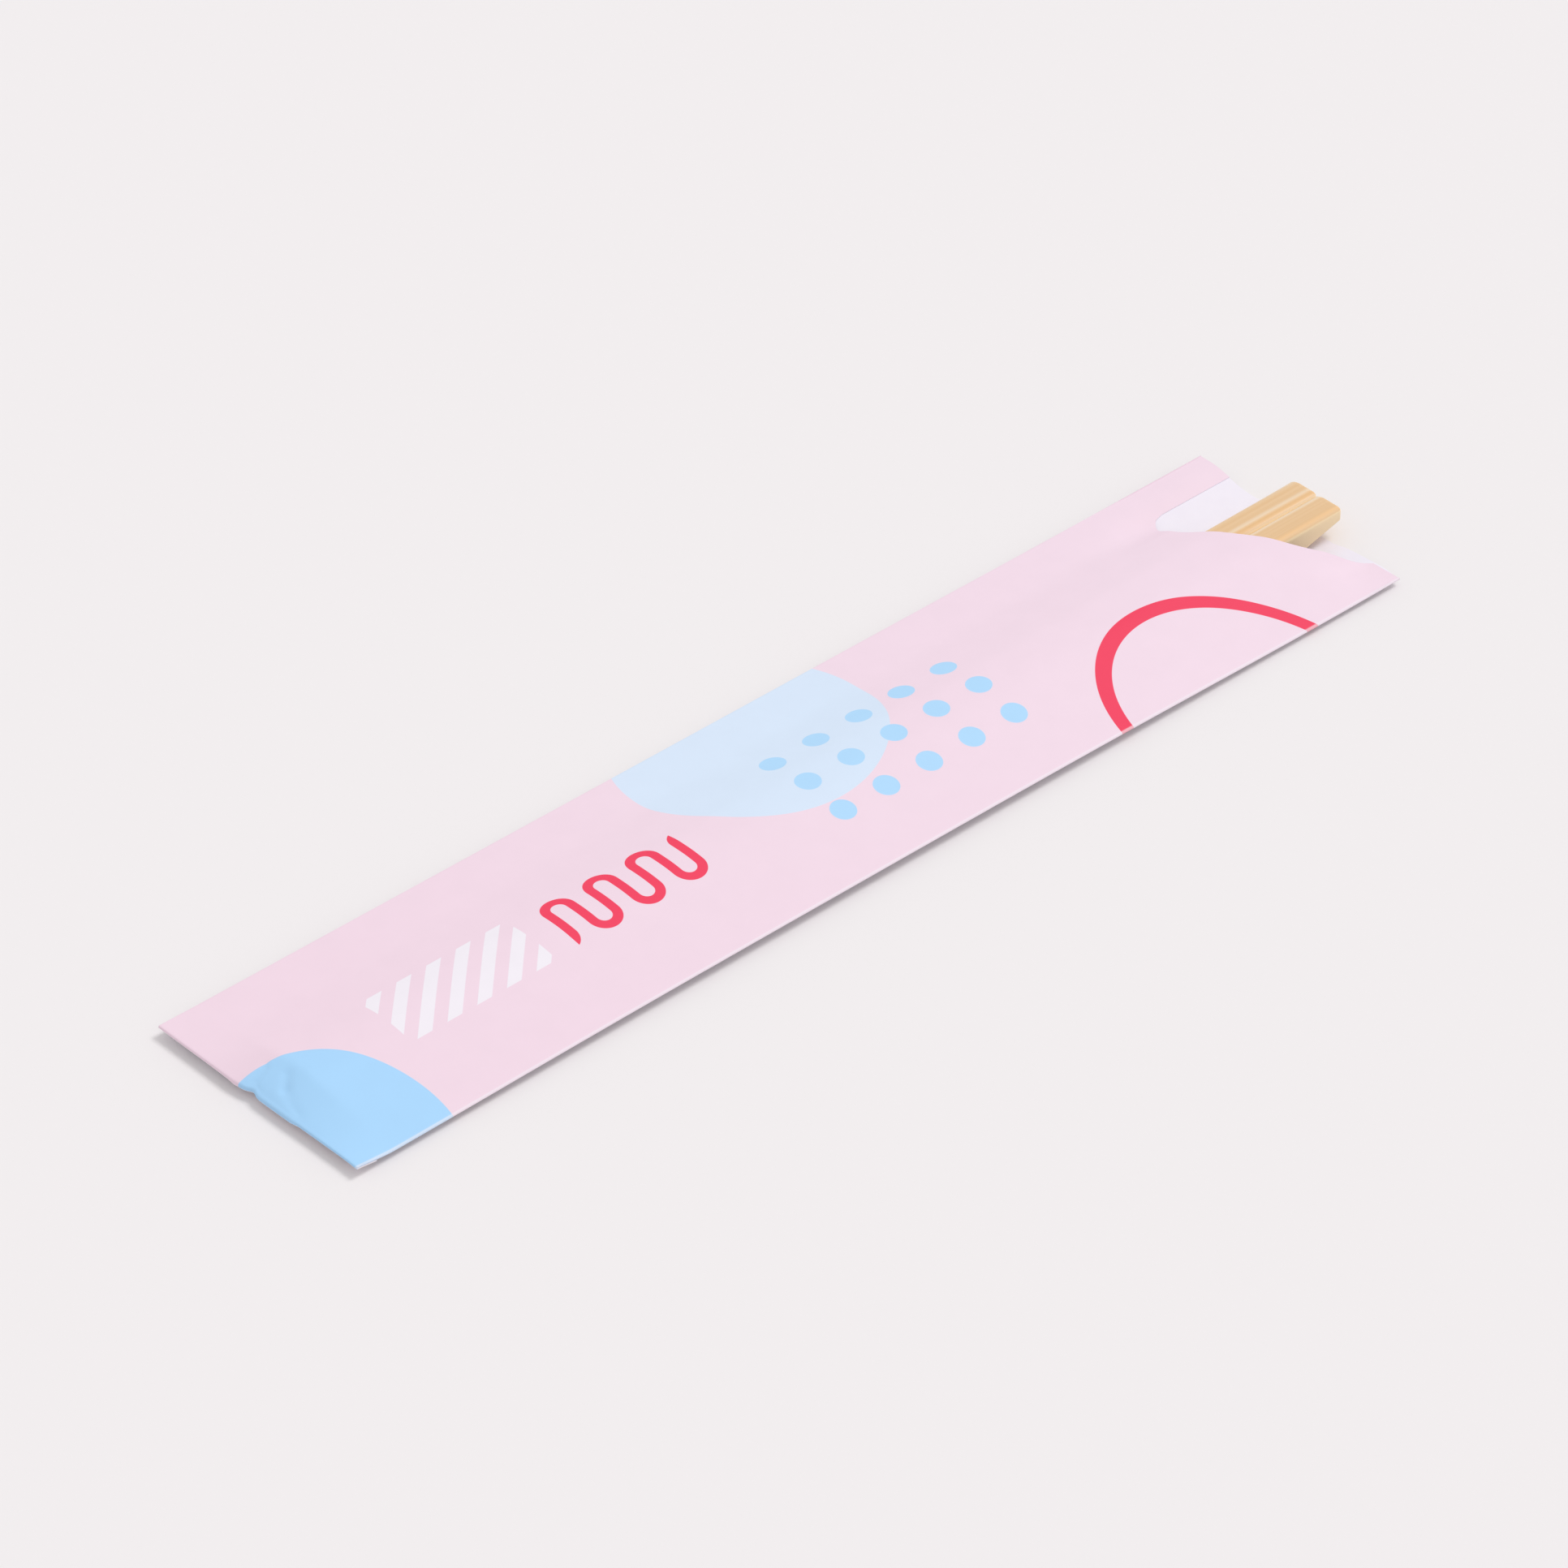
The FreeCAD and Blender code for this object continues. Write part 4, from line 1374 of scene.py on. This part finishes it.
@dataclass
class Studio:
    """The pale table, the soft light and the camera."""

    azimuth: float = -42.576
    elevation: float = 37.259
    focal: float = 10655.0
    frame_size: float = 1932.0
    sensor: float = 36.0
    measured_width: float = 43.0
    distance: float = 1204.22
    aim: Pair = (59.897, 55.084)
    clip: Pair = (0.01, 100.0)
    tail: float = -108.25
    half: float = 22.0
    floor_colour: str = "#f2eeef"
    floor_roughness: float = 0.9
    floor_gloss: float = 0.1
    floor_half: float = 3.0
    key_from: Pair = (-12.0, 33.5)
    key_strength: float = 1.2
    key_spread: float = 26.0
    sky: float = 0.6807

    def build(self) -> None:
        """Builds the floor, the light and the camera."""
        self.floor()
        self.light()
        self.camera()

    def floor(self) -> None:
        """Lays the table."""
        deselect_all()
        bpy.ops.mesh.primitive_plane_add(size=2 * self.floor_half)
        floor = bpy.context.active_object
        floor.name = "table"
        material, tree = new_material("matt_laminate_table")
        surface(tree, linear(self.floor_colour), self.floor_roughness,
                Specular_IOR_Level=self.floor_gloss)
        floor.data.materials.append(material)

    def light(self) -> None:
        """Hangs the soft key and the even sky."""
        lamp = bpy.data.lights.new("key", "SUN")
        lamp.energy = self.key_strength
        lamp.angle = math.radians(self.key_spread)
        item = bpy.data.objects.new("key", lamp)
        azimuth, zenith = (math.radians(a) for a in self.key_from)
        towards = Vector((math.cos(azimuth) * math.sin(zenith),
                          math.sin(azimuth) * math.sin(zenith), math.cos(zenith)))
        item.rotation_mode = "QUATERNION"
        item.rotation_quaternion = towards.to_track_quat("Z", "Y")
        bpy.context.scene.collection.objects.link(item)
        world = bpy.data.worlds.new("studio")
        world.use_nodes = True
        tree = world.node_tree
        tree.nodes.clear()
        path = outputs(tree, "LightPath")
        direct = maths(tree, "MAXIMUM", path["Is Camera Ray"], path["Is Glossy Ray"])
        seen = maths(tree, "MAXIMUM", direct, path["Is Transmission Ray"])
        strength = add(tree, "MapRange", {}, seen, 0.0, 1.0, self.sky, 1.0)
        add(tree, "OutputWorld", {}, add(tree, "Background", {}, (1, 1, 1, 1), strength))
        bpy.context.scene.world = world

    def camera(self) -> None:
        """Places the camera where the photograph was taken from."""
        scale = 2 * self.half / self.measured_width
        az, el = math.radians(self.azimuth), math.radians(self.elevation)
        back = Vector((math.sin(az) * math.cos(el), -math.cos(az) * math.cos(el), math.sin(el)))
        right = Vector((math.cos(az), math.sin(az), 0))
        up = back.cross(right)
        place = (self.aim[0] * right + self.aim[1] * up + self.distance * back) * scale
        place += Vector((self.tail, -self.half, 0))
        lens = bpy.data.cameras.new("camera")
        lens.sensor_width = self.sensor
        lens.lens = self.focal * self.sensor / self.frame_size
        lens.clip_start, lens.clip_end = self.clip
        item = bpy.data.objects.new("camera", lens)
        turn = Matrix((right, up, back)).transposed()
        item.matrix_world = Matrix.Translation(place * MM) @ turn.to_4x4()
        bpy.context.scene.collection.objects.link(item)
        bpy.context.scene.camera = item


def main() -> None:
    """Builds the pair, the sleeve and the studio, and reports each piece."""
    logging.basicConfig(level=logging.INFO, format="%(message)s")
    pieces = [
        Chopstick(Side.BACK, axis=1.405, grain=13.0, bands=(
            (-2.7, Shade.CREAM), (-2.1, Shade.HONEY), (-1.5, Shade.HONEY), (-0.9, Shade.CREAM),
            (-0.3, Shade.TAN), (0.9, Shade.TAN), (1.6, Shade.TAN), (2.4, Shade.CREAM))),
        Chopstick(Side.FRONT, axis=-4.005, grain=31.0, bands=(
            (-2.6, Shade.TAN), (-1.9, Shade.HONEY), (-1.0, Shade.TAN), (1.5, Shade.TAN),
            (2.1, Shade.CREAM), (2.7, Shade.CREAM))),
        PaperSleeve(),
    ]
    for piece in pieces:
        made = piece.build()
        LOG.info("%s: %d faces", made.name, len(made.data.polygons))
    Studio().build()
    bpy.context.scene.view_settings.view_transform = "Standard"


if __name__ == "__main__":
    main()
